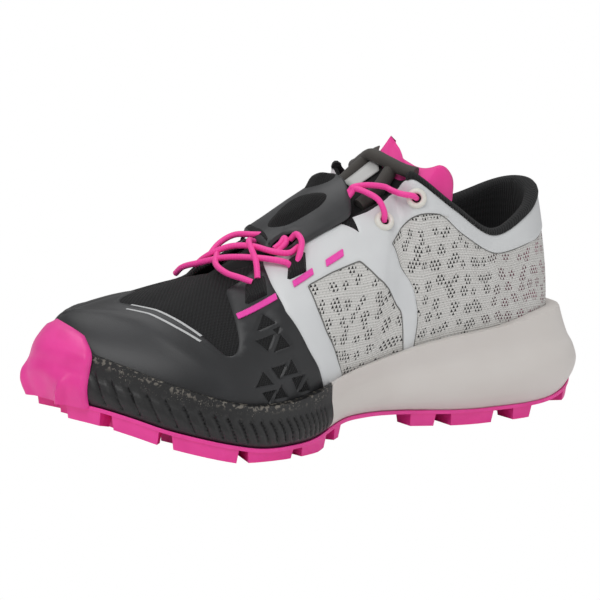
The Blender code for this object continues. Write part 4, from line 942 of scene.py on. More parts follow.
def buildLining():
    end = lining["end"]
    turn = np.linspace(-end, end, int(2 * end * lining["columns"]) + 1)
    edge = throatShare(turn)
    depth = along(liningDepth, sideRow(turn))
    up = lastPoint(turn, edge) - lastPoint(turn, edge - 0.03)
    up /= np.linalg.norm(up, axis=-1, keepdims=True)
    pad = along(liningPad, sideRow(turn))
    inner = -(shoe["wall"] + 2 * shoe["gap"])
    roll = lining["roll"]
    # Columns: share, offset, rise over the edge
    section = (
        (edge - depth, inner, 0), (edge, inner, 0.0002), (edge, 0.0003, 0.0002),
        (edge - 0.016, roll - 0.0002, 0), (edge - 0.006, roll + 0.0002, 0), (edge, roll, 0.0010),
        (edge, 0.0002, 0.0021), (edge, -0.0012, 0.0025), (edge, inner - pad * 0.6, 0.0018),
        (edge, inner - pad * 0.95, 0.0002), (edge, inner - pad * 1.05, -0.0030),
        (edge - depth * 0.3, inner - pad, 0), (edge - depth * 0.65, inner - pad * 0.9, 0),
        (edge - depth, inner - pad * 0.4, 0),
    )
    sections = np.stack([surface(turn, share, offset) + up * rise for share, offset, rise in section], 1)
    length = np.interp(turn % turnCount, np.arange(turnCount + 1), rowPlace)
    uv = np.stack(np.broadcast_arrays(length[:, None], np.arange(len(section)) * 3.0), -1)
    piece = newPiece("collarLining", sections, closedSweep(sections), "lining", weaveMap=uv,
                     slot="lining_textile", node="collar_lining")


# Footbed on the platform
insole = {"rows": 91, "columns": 21, "top": 0.0035, "underside": 0.0001, "clearance": 0.0006}


def buildInsole():
    turn = np.linspace(0, turnCount / 2, insole["rows"])
    inset = -(shoe["wall"] + insole["clearance"])
    part = np.linspace(0, 1, insole["columns"])[None, :, None]
    sheets = []
    for rise in (insole["top"], insole["underside"]):
        edges = []
        for rows in (turn, turnCount - turn):
            low = surface(rows, np.full(len(rows), 0.01), inset)
            share = shareAtHeight(rows, platformHeight(low[:, 0]) + rise)
            edges.append(surface(rows, share, inset)[:, None])
        grid = edges[0] * (1 - part) + edges[1] * part
        grid[..., 2] = platformHeight(grid[..., 0]) + rise
        sheets.append(grid.reshape(-1, 3))
    size = insole["rows"], insole["columns"]
    faces = [tuple(reversed(face)) for face in gridFaces(*size)] + gridFaces(*size, start=len(sheets[0]))
    newPiece("footbed", np.concatenate(sheets), faces, "footbed", slot="footbed", node="insole")


buildLining()
buildInsole()

# Tongue: its lower edge, its flared top, and the arch on its face, in the same shares as the solids
tongueEdge = (
    (4.0, 0.86), (4.333, 0.84), (4.667, 0.80), (5.0, 0.78), (5.5, 0.74), (6.0, 0.70), (6.5, 0.67),
    (7.0, 0.64),
    (7.5, 0.62), (8.0, 0.62), (9.0, 0.62), (10.0, 0.66), (11.0, 0.76), (12.0, 0.88),
)
# Columns: row, x, y, z
tongueTop = (
    (4.0, 0.301, 0.495, 1.015), (4.333, 0.302, 0.500, 1.100), (4.667, 0.314, 0.496, 1.150),
    (5.0, 0.327, 0.476, 1.168), (5.333, 0.338, 0.438, 1.158), (5.667, 0.347, 0.400, 1.152),
    (6.0, 0.353, 0.327, 1.156), (6.333, 0.356, 0.240, 1.172), (6.667, 0.358, 0.130, 1.190),
    (7.0, 0.364, 0.000, 1.208), (7.333, 0.383, 0.000, 1.180), (7.667, 0.415, 0.000, 1.125),
)
rimBar = ((0.369, 0.425, 1.131), (0.379, 0.312, 1.143), (0.3895, 0.163, 1.171), (0.397, 0.000, 1.196))
nearLeg = ((0.386, 0.200, 1.135), (0.4155, 0.260, 1.065), (0.440, 0.275, 1.018), (0.458, 0.275, 0.984))
farLeg = ((0.394, -0.080, 1.160), (0.4155, -0.080, 1.122), (0.438, -0.070, 1.078), (0.460, -0.060, 1.044))
rimHorn = ((0.3975, 0.020, 1.192), (0.391, 0.012, 1.214), (0.380, -0.010, 1.232))
rimCentre = (0.320, 0.000, 0.870)
bodySize = np.array([shoe["length"], shoe["halfBall"], shoe["instep"]])
tongue = {"thickness": 0.003, "tabHeight": 0.007, "tabLean": 0.0015, "tabReach": 0.45, "rimWidth": 0.0030,
          "rimHeight": 0.0025, "legFullness": 1.4, "darkBelow": 0.088, "padFill": 0.9}
patch = {"rows": (7.38, 7.98), "starts": (("Lateral", 1, 0.76), ("Medial", -1, 0.965)), "lift": 0.0009,
         "thickness": 0.0004}


def tonguePoint(row, side, part, lift=0.0):
    # Point of the tongue: side 1 is lateral and -1 medial, part runs from its edge to its middle or top.
    row, part = np.broadcast_arrays(np.asarray(row, float), np.asarray(part, float))
    turn = row if side > 0 else turnCount - row
    low = along(tongueEdge, row)
    offset = lift - (shoe["wall"] + 0.0017 + along(liningPad, row))
    share = low * (1 - part) + part
    point = lastPoint(turn, share) + lastNormal(turn, share) * offset[..., None]
    knots = np.array(tongueTop)
    top = np.stack([along(knots[:, (0, column)], row) for column in (1, 2, 3)], -1) * bodySize
    top[..., 1] *= side
    ridge = np.ones_like(part)
    edge = lastPoint(turn, ridge) + lastNormal(turn, ridge) * (offset - lift)[..., None]
    fade = np.clip((8.0 - row) / (8.0 - knots[-1, 0]), 0, 1)
    tab = np.clip(1 - np.abs(row - ridgeFrom) / tongue["tabReach"], 0, 1) ** 0.8 * part ** 8
    return (point + (top - edge) * (part ** 2 * fade)[..., None]
            + tab[..., None] * np.array([-tongue["tabLean"], 0, tongue["tabHeight"]]))


def buildTongue():
    # Pink over the arch and behind; dark on its face, as painted shade inside the arch, and dark lower down.
    rows = np.concatenate([np.linspace(4.0, 8.0, 73), np.linspace(8.0, 12.0, 33)[1:]])[:, None]
    rows, part = np.broadcast_arrays(rows, np.linspace(0, 1, 19)[None])
    faces = gridFaces(*rows.shape)
    faces += [tuple(reversed(corner)) for corner in gridFaces(*rows.shape, start=rows.size)]
    points = [tonguePoint(rows, side, part).reshape(-1, 3) for side in (1, -1)]
    piece = newPiece("tongueTextile", np.concatenate(points), faces, "tonguePink", weld=0.0002,
                     slot="tongue_textile")
    piece.data.materials.append(materials["darkTextileAndShade"])
    bar = np.array(rimBar)[::-1]
    for polygon in piece.data.polygons:
        x, y, z = polygon.center
        front = np.interp(abs(y) / shoe["halfBall"], bar[:, 1], bar[:, 0])
        # Ahead of the arch the face is dark as painted shade; low down it is dark as well.
        dark = (x + originX) / shoe["length"] > front - 0.004 or z < tongue["darkBelow"]
        polygon.material_index = 1 if dark else 0
    thicken(piece, tongue["thickness"])
    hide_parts("tongue")


def buildTongueRim():
    # Arch with its two legs and its horn, and the grey patch between the legs.
    mirror = [(x, -y, z) for x, y, z in rimBar[-2::-1]]
    for word, places, widths in (("Bar", [*rimBar, *mirror], (1, 1)), ("LegLateral", nearLeg, (1, 1)),
                                 ("LegMedial", farLeg, (1, 1)), ("Horn", rimHorn, (0.9, 0.55, 0.12))):
        fullness = tongue["legFullness"] if "Leg" in word else 1
        piece = tube("tongueRim" + word, np.array(places) * bodySize, tongue["rimWidth"], "tongueRim",
                     flatten=tongue["rimHeight"] / tongue["rimWidth"] * fullness, sides=16,
                     centre=np.array(rimCentre) * bodySize, widths=widths, slot="rim_foam", node="tongue_rim")
    rows = np.linspace(*patch["rows"], 10)[:, None]
    for word, side, start in patch["starts"]:
        points = tonguePoint(rows, side, np.linspace(start, 1.0, 9)[None], lift=patch["lift"])
        piece = newPiece("tonguePatch" + word, points, gridFaces(10, 9), "patch", slot="tongue_textile")
        thicken(piece, patch["thickness"], 0)


buildTongue()
buildTongueRim()
print("collar and tongue built")


# Sole
def wallLevels(turn, out=0.0, foot=0.0, rim=0.0):
    # Six levels up the sole's side, moved out, with the foot lowered and the rim raised.
    side = around(sides, turn)
    rimIn, rimZ, creaseIn, creaseZ, bulgeZ, baseIn = (side[:, column] for column in range(2, 8))
    base = outline(turn, baseIn - out)
    baseZ = bottomHeight(base[:, 0])
    return np.stack([
        atHeight(base, baseZ - foot),
        atHeight(outline(turn, baseIn * 0.25 - out), baseZ * 0.55 + bulgeZ * 0.45),
        atHeight(outline(turn, 0 * baseIn - out), bulgeZ),
        atHeight(outline(turn, creaseIn * 0.4 - out), bulgeZ * 0.45 + creaseZ * 0.55),
        atHeight(outline(turn, creaseIn - out), creaseZ),
        atHeight(outline(turn, rimIn - out), rimZ + rim)], 1)


def smoothLevels(levels, places):
    # Values between the levels, at places counted in levels.
    before = 2 * levels[:, :1] - levels[:, 1:2]
    after = 2 * levels[:, -1:] - levels[:, -2:-1]
    padded = np.concatenate([before, levels, after], 1)
    start = np.clip(np.floor(places).astype(int), 0, levels.shape[1] - 2)
    return spline(*(padded[:, start + k] for k in range(4)), (places - start)[None, :, None])


def levelNormal(turn):
    # Outward direction of the sole's side, level with the ground.
    return np.concatenate([outward(sides, turn), np.zeros((len(turn), 1))], -1)[:, None]


# Rand round the forefoot, with wedge grooves that get closer and more upright towards the back.
# Pairs give the value at the toe and at the back; low and high are levels
rand = {"from": 8.5, "columns": 13 * 44, "levels": 34, "baseInset": 0.004}
grooves = {"first": 13.45, "last": 8.75, "step": (0.30, 0.15), "tilt": (0.26, 0.10), "width": (2.6, 1.1),
           "steepSide": 0.45, "depth": 1.3, "shallower": 0.35, "low": 0.7, "high": 4.2}


def grooveDepth(turn, places):
    row = sideRow(turn)[:, None]
    height = (places[None] - grooves["low"]) / (grooves["high"] - grooves["low"])
    ends = smooth((height + 0.02) / 0.12) * smooth((1.02 - height) / 0.12)
    depth = np.zeros((len(turn), len(places)))
    place = grooves["first"]
    while place > grooves["last"]:
        part = (grooves["first"] - place) / (grooves["first"] - grooves["last"])
        step, tilt, width = (grooves[name][0] * (1 - part) + grooves[name][1] * part
                             for name in ("step", "tilt", "width"))
        away = (row - (place + tilt * (height - 0.5))) * flatRow
        wedge = np.where(away > 0, np.clip(1 - away / width, 0, 1) ** 1.5,
                         np.clip(1 + away / grooves["steepSide"], 0, 1))
        depth = np.maximum(depth, wedge * ends * (1 - grooves["shallower"] * part))
        place -= step
    return depth * grooves["depth"] * mm


def buildRand():
    turn = np.linspace(rand["from"] + 0.02, turnCount - rand["from"] - 0.02, rand["columns"])
    places = np.linspace(0, 5, rand["levels"])
    levels = wallLevels(turn)
    outer = smoothLevels(levels, places) - levelNormal(turn) * grooveDepth(turn, places)[..., None]
    rim = levels[:, -1]
    share = shareAtHeight(turn, rim[:, 2])
    ledge = rim * 0.35 + surface(turn, share, 0.0001) * 0.65 + np.array([0, 0, 0.0004])
    touching = surface(turn, share * 0.94, -0.0002)
    foot = atHeight(outline(turn, around(sides, turn)[:, 7] + rand["baseInset"]), levels[:, 0, 2] + 0.0002)
    points = np.concatenate([foot[:, None], outer, ledge[:, None], touching[:, None]], 1)
    piece = newPiece("randRubber", points, gridFaces(*points.shape[:2]), "rand", slot="rand_rubber",
                     node="forefoot_rand")
    edge = np.concatenate([[0.0], smooth((places - 3.9) / 0.9), [1.0, 1.0]])
    attribute = piece.data.attributes.new("edge", "FLOAT", "POINT")
    attribute.data.foreach_set("value", np.broadcast_to(edge, points.shape[:2]).ravel().astype(np.float32))


midsole = {"columns": 205, "levels": 26, "baseInset": 0.006, "underUpper": (0.985, 0.8, 0.4, 0.02)}


def buildMidsole():
    turn = np.linspace(-rand["from"], rand["from"], midsole["columns"])
    levels = wallLevels(turn)
    rim = levels[:, -1]
    share = shareAtHeight(turn, rim[:, 2])
    inner = [surface(turn, share * part, 0.0002) for part in midsole["underUpper"]]
    crest = rim * 0.45 + inner[0] * 0.55 + np.array([0, 0, 0.0005])
    foot = atHeight(outline(turn, around(sides, turn)[:, 7] + midsole["baseInset"]), levels[:, 0, 2])
    outer = smoothLevels(levels, np.linspace(0, 5, midsole["levels"]))
    points = np.concatenate([foot[:, None], outer, crest[:, None], np.stack(inner, 1)], 1)
    newPiece("midsoleFoam", points, gridFaces(*points.shape[:2]), "foam", slot="midsole_foam", node="midsole")


buildMidsole()
buildRand()
print("sole sides built")

# Blocks along the tread's edge, the same on both sides.
# Columns: from row, to row, depth as a share of half the ball width
edgeLugs = (
    (0.95, 1.65, 0.24), (2.50, 2.82, 0.22), (3.20, 4.15, 0.26), (4.50, 5.15, 0.20), (7.75, 8.10, 0.14),
    (8.55, 9.62, 0.26), (9.88, 10.98, 0.28), (11.15, 12.30, 0.28), (12.48, 13.25, 0.26), (13.45, 14.20, 0.22),
)
# Chevrons inside them. Columns: x, y, width, length, aim
arrowLugs = (
    (0.060, 0.00, 0.46, 0.043, -1), (0.125, 0.18, 0.28, 0.047, -1), (0.125, -0.18, 0.28, 0.047, -1),
    (0.190, 0.00, 0.34, 0.047, -1), (0.250, 0.18, 0.28, 0.047, -1), (0.250, -0.18, 0.28, 0.047, -1),
    (0.315, 0.00, 0.34, 0.047, -1), (0.385, 0.00, 0.30, 0.039, -1), (0.565, 0.00, 0.30, 0.039, 1),
    (0.615, 0.22, 0.30, 0.051, 1), (0.615, -0.22, 0.30, 0.051, 1), (0.665, 0.00, 0.34, 0.055, 1),
    (0.705, 0.32, 0.30, 0.051, 1), (0.705, -0.36, 0.30, 0.051, 1), (0.745, -0.02, 0.34, 0.055, 1),
    (0.785, 0.24, 0.26, 0.051, 1), (0.785, -0.36, 0.30, 0.051, 1), (0.825, -0.08, 0.34, 0.055, 1),
    (0.870, -0.32, 0.26, 0.047, 1), (0.870, 0.10, 0.24, 0.047, 1), (0.915, -0.18, 0.34, 0.047, 1),
)
tread = {"plate": 0.0016, "margin": 0.0008, "taper": 0.0008, "lugEdge": 0.0006, "rootInPlate": 0.0008}


def lugRings():
    # Root and tip of each lug, in plan.
    half = shoe["halfBall"]
    lugs = [*edgeLugs, *((turnCount - end, turnCount - start, depth) for start, end, depth in edgeLugs)]
    ends = np.zeros((14, 1))
    ends[[0, 13]] = 1
    ends[[6, 7]] = -1
    for start, end, depth in lugs:
        turn = np.linspace(start, end, 7)
        inset = around(sides, turn)[:, 7]
        pair = []
        for shrink in (0, tread["taper"]):
            outer = outline(turn, inset - tread["margin"] + 0.0004 + shrink)
            inner = outline(turn[::-1], inset[::-1] + depth * half - shrink)
            direction = (outer[-1] - outer[0]) / np.linalg.norm(outer[-1] - outer[0]) * shrink
            pair.append(np.concatenate([outer, inner]) + ends * direction)
        yield pair
    for x, y, width, length, aim in arrowLugs:
        pair = []
        for shrink in (0, tread["taper"]):
            across, reach = width * half / 2 - shrink, length * shoe["length"] / 2 - shrink
            corners = [(reach, 0), (-reach * 0.2, across), (-reach, across), (-reach * 0.1, 0),
                       (-reach, -across), (-reach * 0.2, -across)]
            pair.append(np.array(corners) * np.array([aim, 1]) + np.array([x * shoe["length"], y * half]))
        yield pair


def buildPlate():
    turn = np.linspace(0, turnCount, turnCount * 10 + 1)[:-1]
    plan = outline(turn, around(sides, turn)[:, 7] - tread["margin"])
    top = atHeight(plan, bottomHeight(plan[:, 0]) - 0.0001)
    low = top - np.array([0, 0, tread["plate"]])
    edge = np.stack([low, (low + top) / 2 + (top - low) * 0.3, top], 1)
    points = [edge.reshape(-1, 3)]
    faces = gridFaces(len(turn), 3, wrap=True)
    part = np.linspace(0, 1, 13)[None, :, None]
    half = len(turn) // 2
    for ring, drop in ((top, 0.0001), (low, 0.0001 + tread["plate"])):
        grid = ring[:half + 1][:, None] * (1 - part) + ring[-np.arange(half + 1) % len(turn)][:, None] * part
        grid[..., 2] = bottomHeight(grid[..., 0]) - drop
        sheet = gridFaces(half + 1, 13, start=sum(len(rows) for rows in points))
        faces += sheet if ring is low else [tuple(reversed(corner)) for corner in sheet]
        points.append(grid.reshape(-1, 3))
    newPiece("treadPlate", np.concatenate(points), faces, "pinkRubber", slot="tread_rubber", node="outsole")


def buildLugs():
    work = bmesh.new()
    heel = np.array([originX, 0, 0])
    for root, tip in lugRings():
        rootZ = bottomHeight(root[:, 0]) - tread["plate"] + tread["rootInPlate"]
        tipZ = np.maximum(bottomHeight(tip[:, 0]) - shoe["lugReach"], 0)
        low, high = ([work.verts.new(point) for point in atHeight(ring, height) - heel]
                     for ring, height in ((root, rootZ), (tip, tipZ)))
        following = np.roll(np.arange(len(low)), -1)
        made = [work.faces.new((low[k], low[n], high[n], high[k])) for k, n in enumerate(following)]
        bmesh.ops.recalc_face_normals(work, faces=made + [work.faces.new(high)])
    work.edges.ensure_lookup_table()
    sharp = [edge for edge in work.edges if len(edge.link_faces) == 2
             and edge.calc_face_angle(0) > math.radians(35)]
    bmesh.ops.bevel(work, geom=sharp, offset=tread["lugEdge"], segments=2, affect="EDGES", clamp_overlap=True)
    bmesh.ops.triangulate(work, faces=[face for face in work.faces if len(face.verts) > 4])
    mesh = bpy.data.meshes.new("treadLugs")
    finishPiece("treadLugs", work, mesh, "pinkRubber", 35, "tread_rubber", "outsole")


# Rubber turned up over the toe. Columns of ribs: turn, width in turns, reach in mm, lean
bumper = {"from": 13.667, "to": 16.0, "thickness": 0.0022, "height": 0.0505, "cornerDrop": 0.004,
          "ribs": ((14.15, 0.085, 3.2, 0.35), (15.25, 0.11, 2.8, -0.35)), "pocket": (14.62, 0.24, 1.5)}


def buildBumper():
    start, end, thick = bumper["from"], bumper["to"], bumper["thickness"]
    turn = np.linspace(start, end, 61)
    across = (turn - (start + end) / 2) / ((end - start) / 2)
    topShare = shareAtHeight(turn, bumper["height"] - bumper["cornerDrop"] * np.abs(across) ** 3)
    places = np.linspace(0, 6, 43)

    def sheet(out, overFilm):
        levels = wallLevels(turn, out, tread["plate"], 0.0004)
        top = surface(turn, topShare, overFilm)[:, None]
        return smoothLevels(np.concatenate([levels, top], 1), places)

    outer, inner = sheet(0.0003 + thick, 0.0008 + thick * 0.7), sheet(0.0001, 0.0002)
    height = places[None] / 6
    relief = np.zeros((len(turn), len(places)))
    for centre, width, reach, lean in bumper["ribs"]:
        away = (turn - centre)[:, None] + (height - 0.3) * lean
        relief = np.maximum(relief, reach * np.exp(-(away / width) ** 2) * smooth((0.62 - height) / 0.5))
    centre, width, depth = bumper["pocket"]
    relief -= depth * np.exp(-((turn - centre)[:, None] / width) ** 2) * smooth((0.5 - height) / 0.3)
    outer = outer + levelNormal(turn) * (relief * mm)[..., None]
    roundTop = smooth((6 - places) / 0.35)[None, :, None] * smooth((1 - np.abs(across)) / 0.06)[:, None, None]
    outer = inner + (outer - inner) * (0.15 + 0.85 * roundTop)
    points = np.concatenate([inner[:, ::-1], outer], 1)
    newPiece("toeBumper", points, closedSweep(points), "pinkRubber", slot="tread_rubber", node="outsole")


buildPlate()
buildLugs()
buildBumper()
print("tread built")


# Eyelets: moulded rings, each with a near-black disc in its hole as painted shade. Columns of the profile:
# radius and height in mm
eyelets = {"low": (7.40, 0.655), "high": (5.08, 0.885), "sides": 40, "holeRadius": 2.1, "holeHeight": -0.1,
           "profile": ((2.0, -1.2), (1.9, 0.2), (2.15, 1.1), (2.8, 1.5), (3.6, 1.3), (4.15, 0.7),
                       (4.35, -0.3))}


def buildEyelet(name, node, turn, share):
    centre = surface(turn, share, 0.0007)
    normal = lastNormal(turn, share)
    one = np.cross(normal, [0, 0, 1.0])
    one /= np.linalg.norm(one)
    two = np.cross(normal, one)

    def ring(radius, height):
        angle = np.arange(eyelets["sides"])[:, None] * 2 * math.pi / eyelets["sides"]
        return centre + radius * mm * (np.cos(angle) * one + np.sin(angle) * two) + normal * height * mm

    points = np.stack([ring(*row) for row in eyelets["profile"]], 1)
    faces = gridFaces(*points.shape[:2], wrap=True)
    newPiece(name, points, faces, "eyelet", slot="eyelet_plastic", node=node)
    # Near-black disc across the hole: painted shade.
    disc = ring(eyelets["holeRadius"], eyelets["holeHeight"])
    newPiece(name + "HoleShade", disc, [tuple(range(len(disc)))], "hole", slot="upper_knit")


# Webbing loops. Columns: row and way down from the ridge of two corners
loops = {"front": (10.22, 0.315, 10.62, 0.42), "rear": (9.46, 0.300, 9.84, 0.40), "lean": 0.06,
         "thickness": 2.2, "lift": 0.55, "spacing": 1.2, "rim": 1.1}
# Bar tacks of zigzag thread. Columns: row, way down, row, way down, width in mm
bartacks = ((10.84, 0.462, 10.14, 0.448, 2.7), (9.80, 0.428, 9.40, 0.412, 2.7),
            (9.08, 0.408, 8.68, 0.396, 2.7))
thread = {"pitch": 0.42, "radius": 0.0003, "lift": 0.00095}


def buildLoop(level, word, side):
    rowOne, downOne, rowTwo, downTwo = loops[level]
    lean = loops["lean"]
    corners = ((rowOne, downOne), (rowTwo - lean, downOne), (rowTwo + lean, downTwo),
               (rowOne + lean, downTwo))
    outer = [(row, down * side) for row, down in corners for _ in range(2)]
    panel(f"loop{level.capitalize()}{word}", ridgeChart, outer, [], "webbing", loops["thickness"],
          lift=loops["lift"], spacing=loops["spacing"], rim=loops["rim"], flip=True, slot="webbing",
          node=f"loop_{level}_{word.lower()}")


def buildBartack(name, side, rowOne, downOne, rowTwo, downTwo, width):
    count = int(abs(rowTwo - rowOne) * flatRow / thread["pitch"]) * 2
    place = np.linspace(0, 1, count)
    sway = (np.arange(count) % 2 - 0.5) * width / flatShare
    down = (downOne + (downTwo - downOne) * place + sway) * side
    turn, share = ridgeChart(np.stack([rowOne + (rowTwo - rowOne) * place, down], -1) * scaleFlat)
    tube(name, surface(turn, share, thread["lift"]), thread["radius"], "thread", sides=6, slot="lace_cord")


for side, word in ((1, "Lateral"), (-1, "Medial")):
    for level in ("low", "high"):
        row, share = eyelets[level]
        buildEyelet("eyelet" + level.capitalize() + word, f"eyelet_{level}_{word.lower()}", row * side, share)
for side, word in ((1, "Lateral"), (-1, "Medial")):
    for level in ("front", "rear"):
        buildLoop(level, word, side)
    for index, tack in enumerate(bartacks):
        buildBartack(f"bartack{index}{word}", side, *tack)

# The cover over the laces, in rows and ways down from the ridge
cover = {"thickness": 1.2, "lift": 1.4, "rise": 1.0, "riseReach": 0.26, "onTop": 2.5, "domeHeight": 2.6,
         "domeShoulder": 4.5, "domeThickness": 0.3, "bandThickness": 0.35}
coverSide = [(10.05, 0.0), (10.07, 0.10), (10.04, 0.195), (9.98, 0.215), (9.75, 0.262), (9.60, 0.268),
             (9.20, 0.268), (8.75, 0.268), (8.44, 0.262), (8.34, 0.235), (8.22, 0.14)]
coverRear = (8.04, 0.0)
coverFarFront = [(9.80, -0.20), (9.95, -0.10)]
keyhole = (9.735, 0.208, 0.24, 0.034)  # middle, then half its length and height
nearDome = [(9.78, 0.075), (9.60, 0.02), (9.20, 0.00), (8.85, 0.03), (8.66, 0.10), (8.85, 0.145),
            (9.25, 0.150), (9.60, 0.135)]
farDome = [(8.58, 0.015), (8.32, 0.04), (8.12, 0.02), (8.10, -0.05), (8.25, -0.10), (8.55, -0.10),
           (8.70, -0.05)]
coverBand = [(9.97, 0.19), (9.98, 0.05), (9.95, -0.05), (9.86, -0.12), (9.76, -0.12), (9.83, -0.05),
             (9.86, 0.05), (9.92, 0.15)]


def coverRise(flat, distance):
    # The cover stands off the laces on both sides of the ridge.
    away = np.abs(flat[:, 1] / flatShare)
    return np.sin(np.clip(away / cover["riseReach"], 0, 1) * math.pi) * cover["rise"]


def domeRise(flat, distance):
    return coverRise(flat, distance) + cover["domeHeight"] * smooth(distance / cover["domeShoulder"])


def buildLaceCover():
    outer = coverSide + [coverRear] + [(row, -down) for row, down in reversed(coverSide[4:])] + coverFarFront
    row, down, reach, tall = keyhole
    angles = np.linspace(0, 2 * math.pi, 17)[:-1]
    ellipse = [(row + reach * math.cos(angle), down + tall * math.sin(angle)) for angle in angles]
    kind = {"lift": cover["lift"], "rim": 1.0, "shape": coverRise, "slot": "cover_film", "node": "lace_cover"}
    panel("laceCover", ridgeChart, outer, [ellipse], "coverFilm", cover["thickness"], spacing=1.8, flip=True,
          **kind)
    panel("laceCoverUnder", ridgeChart, outer, [ellipse], "darkTextileAndShade", 0.0, spacing=3.0, **kind)
    kind = {"lift": cover["onTop"], "spacing": 1.3, "flip": True, "slot": "cover_film"}
    for name, border in (("coverDomeFront", nearDome), ("coverDomeRear", farDome)):
        panel(name, ridgeChart, border, [], "coverMesh", cover["domeThickness"], rim=0.8, shape=domeRise,
              **kind)
    panel("coverBand", ridgeChart, coverBand, [], "webbing", cover["bandThickness"], rim=0.5, shape=coverRise,
          **kind)


buildLaceCover()

# Pink film at the heel
heelMark = {"thickness": 0.35, "lift": 0.62, "outline": [
    (-0.26, 0.86), (-0.20, 0.80), (0.0, 0.775), (0.20, 0.80), (0.26, 0.86), (0.20, 0.93), (0.0, 0.955),
    (-0.20, 0.93)]}
panel("heelMark", sideChart, heelMark["outline"], [], "pinkFilm", heelMark["thickness"], lift=heelMark["lift"],
      spacing=1.4, rim=0.5, slot="lace_cord")


def ridgePoint(row, down, lift):
    # Point over the upper from a row and the way down from the ridge, lateral over zero.
    turn, share = ridgeChart(np.array([[row * flatRow, down * flatShare]]))
    return lastPoint(turn, share)[0] + lastNormal(turn, share)[0] * lift * mm


# Lace runs. Columns: row, way down from the ridge, height in mm
laceRuns = {
    "laceCrossingFront": [(9.78, 0.34, 1.0), (9.88, 0.315, 2.6), (10.22, 0.235, 3.6), (10.60, 0.11, 3.6),
                          (10.95, 0.0, 3.2), (11.10, -0.10, 3.0), (11.14, -0.18, 1.6)],
    "laceCrossingRear": [(9.55, 0.27, 1.5), (9.76, 0.285, 2.8), (10.00, 0.235, 3.6), (10.20, 0.15, 4.2),
                         (10.42, 0.07, 4.8), (10.66, 0.02, 4.4), (10.80, -0.04, 3.0), (10.84, -0.12, 1.2)],
    "laceToLoop": [(10.60, 0.03, 4.0), (10.78, 0.12, 3.6), (10.74, 0.22, 3.4), (10.60, 0.29, 3.6),
                   (10.46, 0.335, 2.6)],
    "laceBack": [(10.10, 0.10, 2.6), (10.20, 0.13, 5.6), (10.28, 0.25, 4.2), (10.36, 0.33, 2.4)],
    "laceFar": [(10.72, 0.0, 3.6), (10.45, -0.03, 5.2), (10.2, -0.01, 5.0), (10.03, 0.06, 3.4),
                (9.90, 0.09, 2.0)],
    "laceToCover": [(9.62, 0.205, 1.0), (9.52, 0.22, 3.8), (9.50, 0.275, 4.8), (9.58, 0.315, 3.4),
                    (9.66, 0.34, 1.6)],
    "laceInKeyhole": [(9.92, 0.205, 1.0), (9.80, 0.20, 1.4), (9.70, 0.185, 1.8), (9.72, 0.215, 1.4),
                      (9.90, 0.235, 1.0)],
    "laceEndFar": [(8.95, -0.255, 1.6), (8.95, -0.285, 3.0), (9.05, -0.30, 4.6)],
    "laceLowEyelet": [(8.34, 0.17, 1.0), (8.20, 0.165, 2.6), (8.10, 0.165, 4.0), (7.88, 0.215, 5.0),
                      (7.60, 0.27, 5.0), (7.46, 0.32, 3.6), (7.40, 0.345, 0.2)],
    "laceHighEyelet": [(8.34, 0.15, 1.0), (8.20, 0.152, 2.8), (8.10, 0.155, 4.2), (7.75, 0.180, 4.0),
                       (7.30, 0.212, 3.0), (6.10, 0.158, 4.2), (5.45, 0.122, 5.0), (5.17, 0.113, 3.4),
                       (5.08, 0.115, 0.2)],
}
laceNodes = {"laceCrossingFront": "lace_front", "laceCrossingRear": "lace_front", "laceToLoop": "lace_front",
             "laceLowEyelet": "lace_rear_lateral", "laceHighEyelet": "lace_rear_lateral"}
laceRadius = 0.0013


def buildLace(name, run, side, node):
    path = [ridgePoint(row, down * side, lift) for row, down, lift in run]
    tube(name, path, laceRadius, "lace", slot="lace_cord", node=node)


for name, run in laceRuns.items():
    buildLace(name, run, 1, laceNodes.get(name))
for name in ("laceLowEyelet", "laceHighEyelet"):
    buildLace(name + "Medial", laceRuns[name], -1, "lace_rear_medial")
print("laces built")

# Camera, light and floor
camera = bpy.data.objects.new("camera", bpy.data.cameras.new("camera"))
bpy.context.scene.collection.objects.link(camera)
bpy.context.scene.camera = camera
view = {"azimuth": 35.41, "elevation": 9.16, "roll": 2.4, "distance": 0.741, "target": (0.0049, 0.0, 0.050),
        "lens": 103.1, "shift": (-0.01305, 0.0179)}


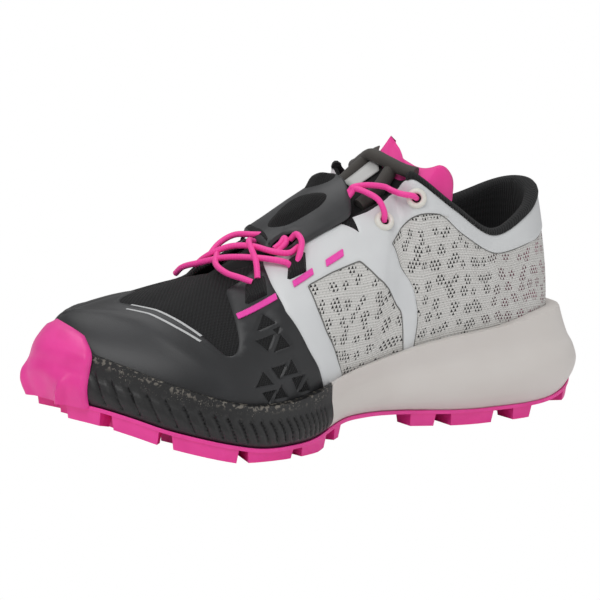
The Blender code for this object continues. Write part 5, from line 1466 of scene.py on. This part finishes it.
def placeCamera():
    azimuth, elevation = math.radians(view["azimuth"]), math.radians(view["elevation"])
    back = Vector((math.sin(azimuth) * math.cos(elevation), math.cos(azimuth) * math.cos(elevation),
                   math.sin(elevation)))
    camera.location = Vector(view["target"]) + back * view["distance"]
    right = (-back).cross(Vector((0, 0, 1))).normalized()
    up = right.cross(-back)
    roll = math.radians(view["roll"])
    turnedRight = right * math.cos(roll) + up * math.sin(roll)
    turnedUp = up * math.cos(roll) - right * math.sin(roll)
    matrix = camera.matrix_world.to_3x3()
    matrix.col[0], matrix.col[1], matrix.col[2] = turnedRight, turnedUp, back
    camera.rotation_euler = matrix.to_euler()
    camera.data.lens = view["lens"]
    camera.data.shift_x, camera.data.shift_y = view["shift"]


placeCamera()

# Columns: name, place, aim, size in metres, power in watts
lights = (
    ("keyLight", (0.75, 0.45, 1.0), (0, 0, 0.04), 0.7, 6.0),
    ("fillLight", (-0.5, 0.9, 0.5), (0, 0, 0.05), 1.0, 1.6),
    ("topLight", (-0.1, -0.4, 1.3), (0, 0, 0.05), 0.8, 4.0),
)
for name, place, aim, size, power in lights:
    light = bpy.data.lights.new(name, "AREA")
    light.size = size
    light.energy = power
    made = bpy.data.objects.new(name, light)
    made.location = place
    made.rotation_euler = (Vector(aim) - Vector(place)).to_track_quat("-Z", "Y").to_euler()
    bpy.context.scene.collection.objects.link(made)

scene = bpy.context.scene
world = bpy.data.worlds.new("studio")
scene.world = world
world.use_nodes = True
ray = addNode(world.node_tree, "ShaderNodeLightPath").outputs["Is Camera Ray"]
strength = Field(world.node_tree, ray) * 0.62 + 0.38
background = world.node_tree.nodes["Background"]
background.inputs["Color"].default_value = (1, 1, 1, 1)
world.node_tree.links.new(strength.socket, background.inputs["Strength"])
scene.view_settings.view_transform = "Standard"  # keeps the photo's plain colours

floorMesh = bpy.data.meshes.new("floor")
floorMesh.from_pydata([(-3, -3, 0), (3, -3, 0), (3, 3, 0), (-3, 3, 0)], [], [(0, 1, 2, 3)])
floor = bpy.data.objects.new("floor", floorMesh)
floorMesh.materials.append(newMaterial("white floor", "#FFFFFF", 0.9)[0])
floor.visible_camera = False
scene.collection.objects.link(floor)
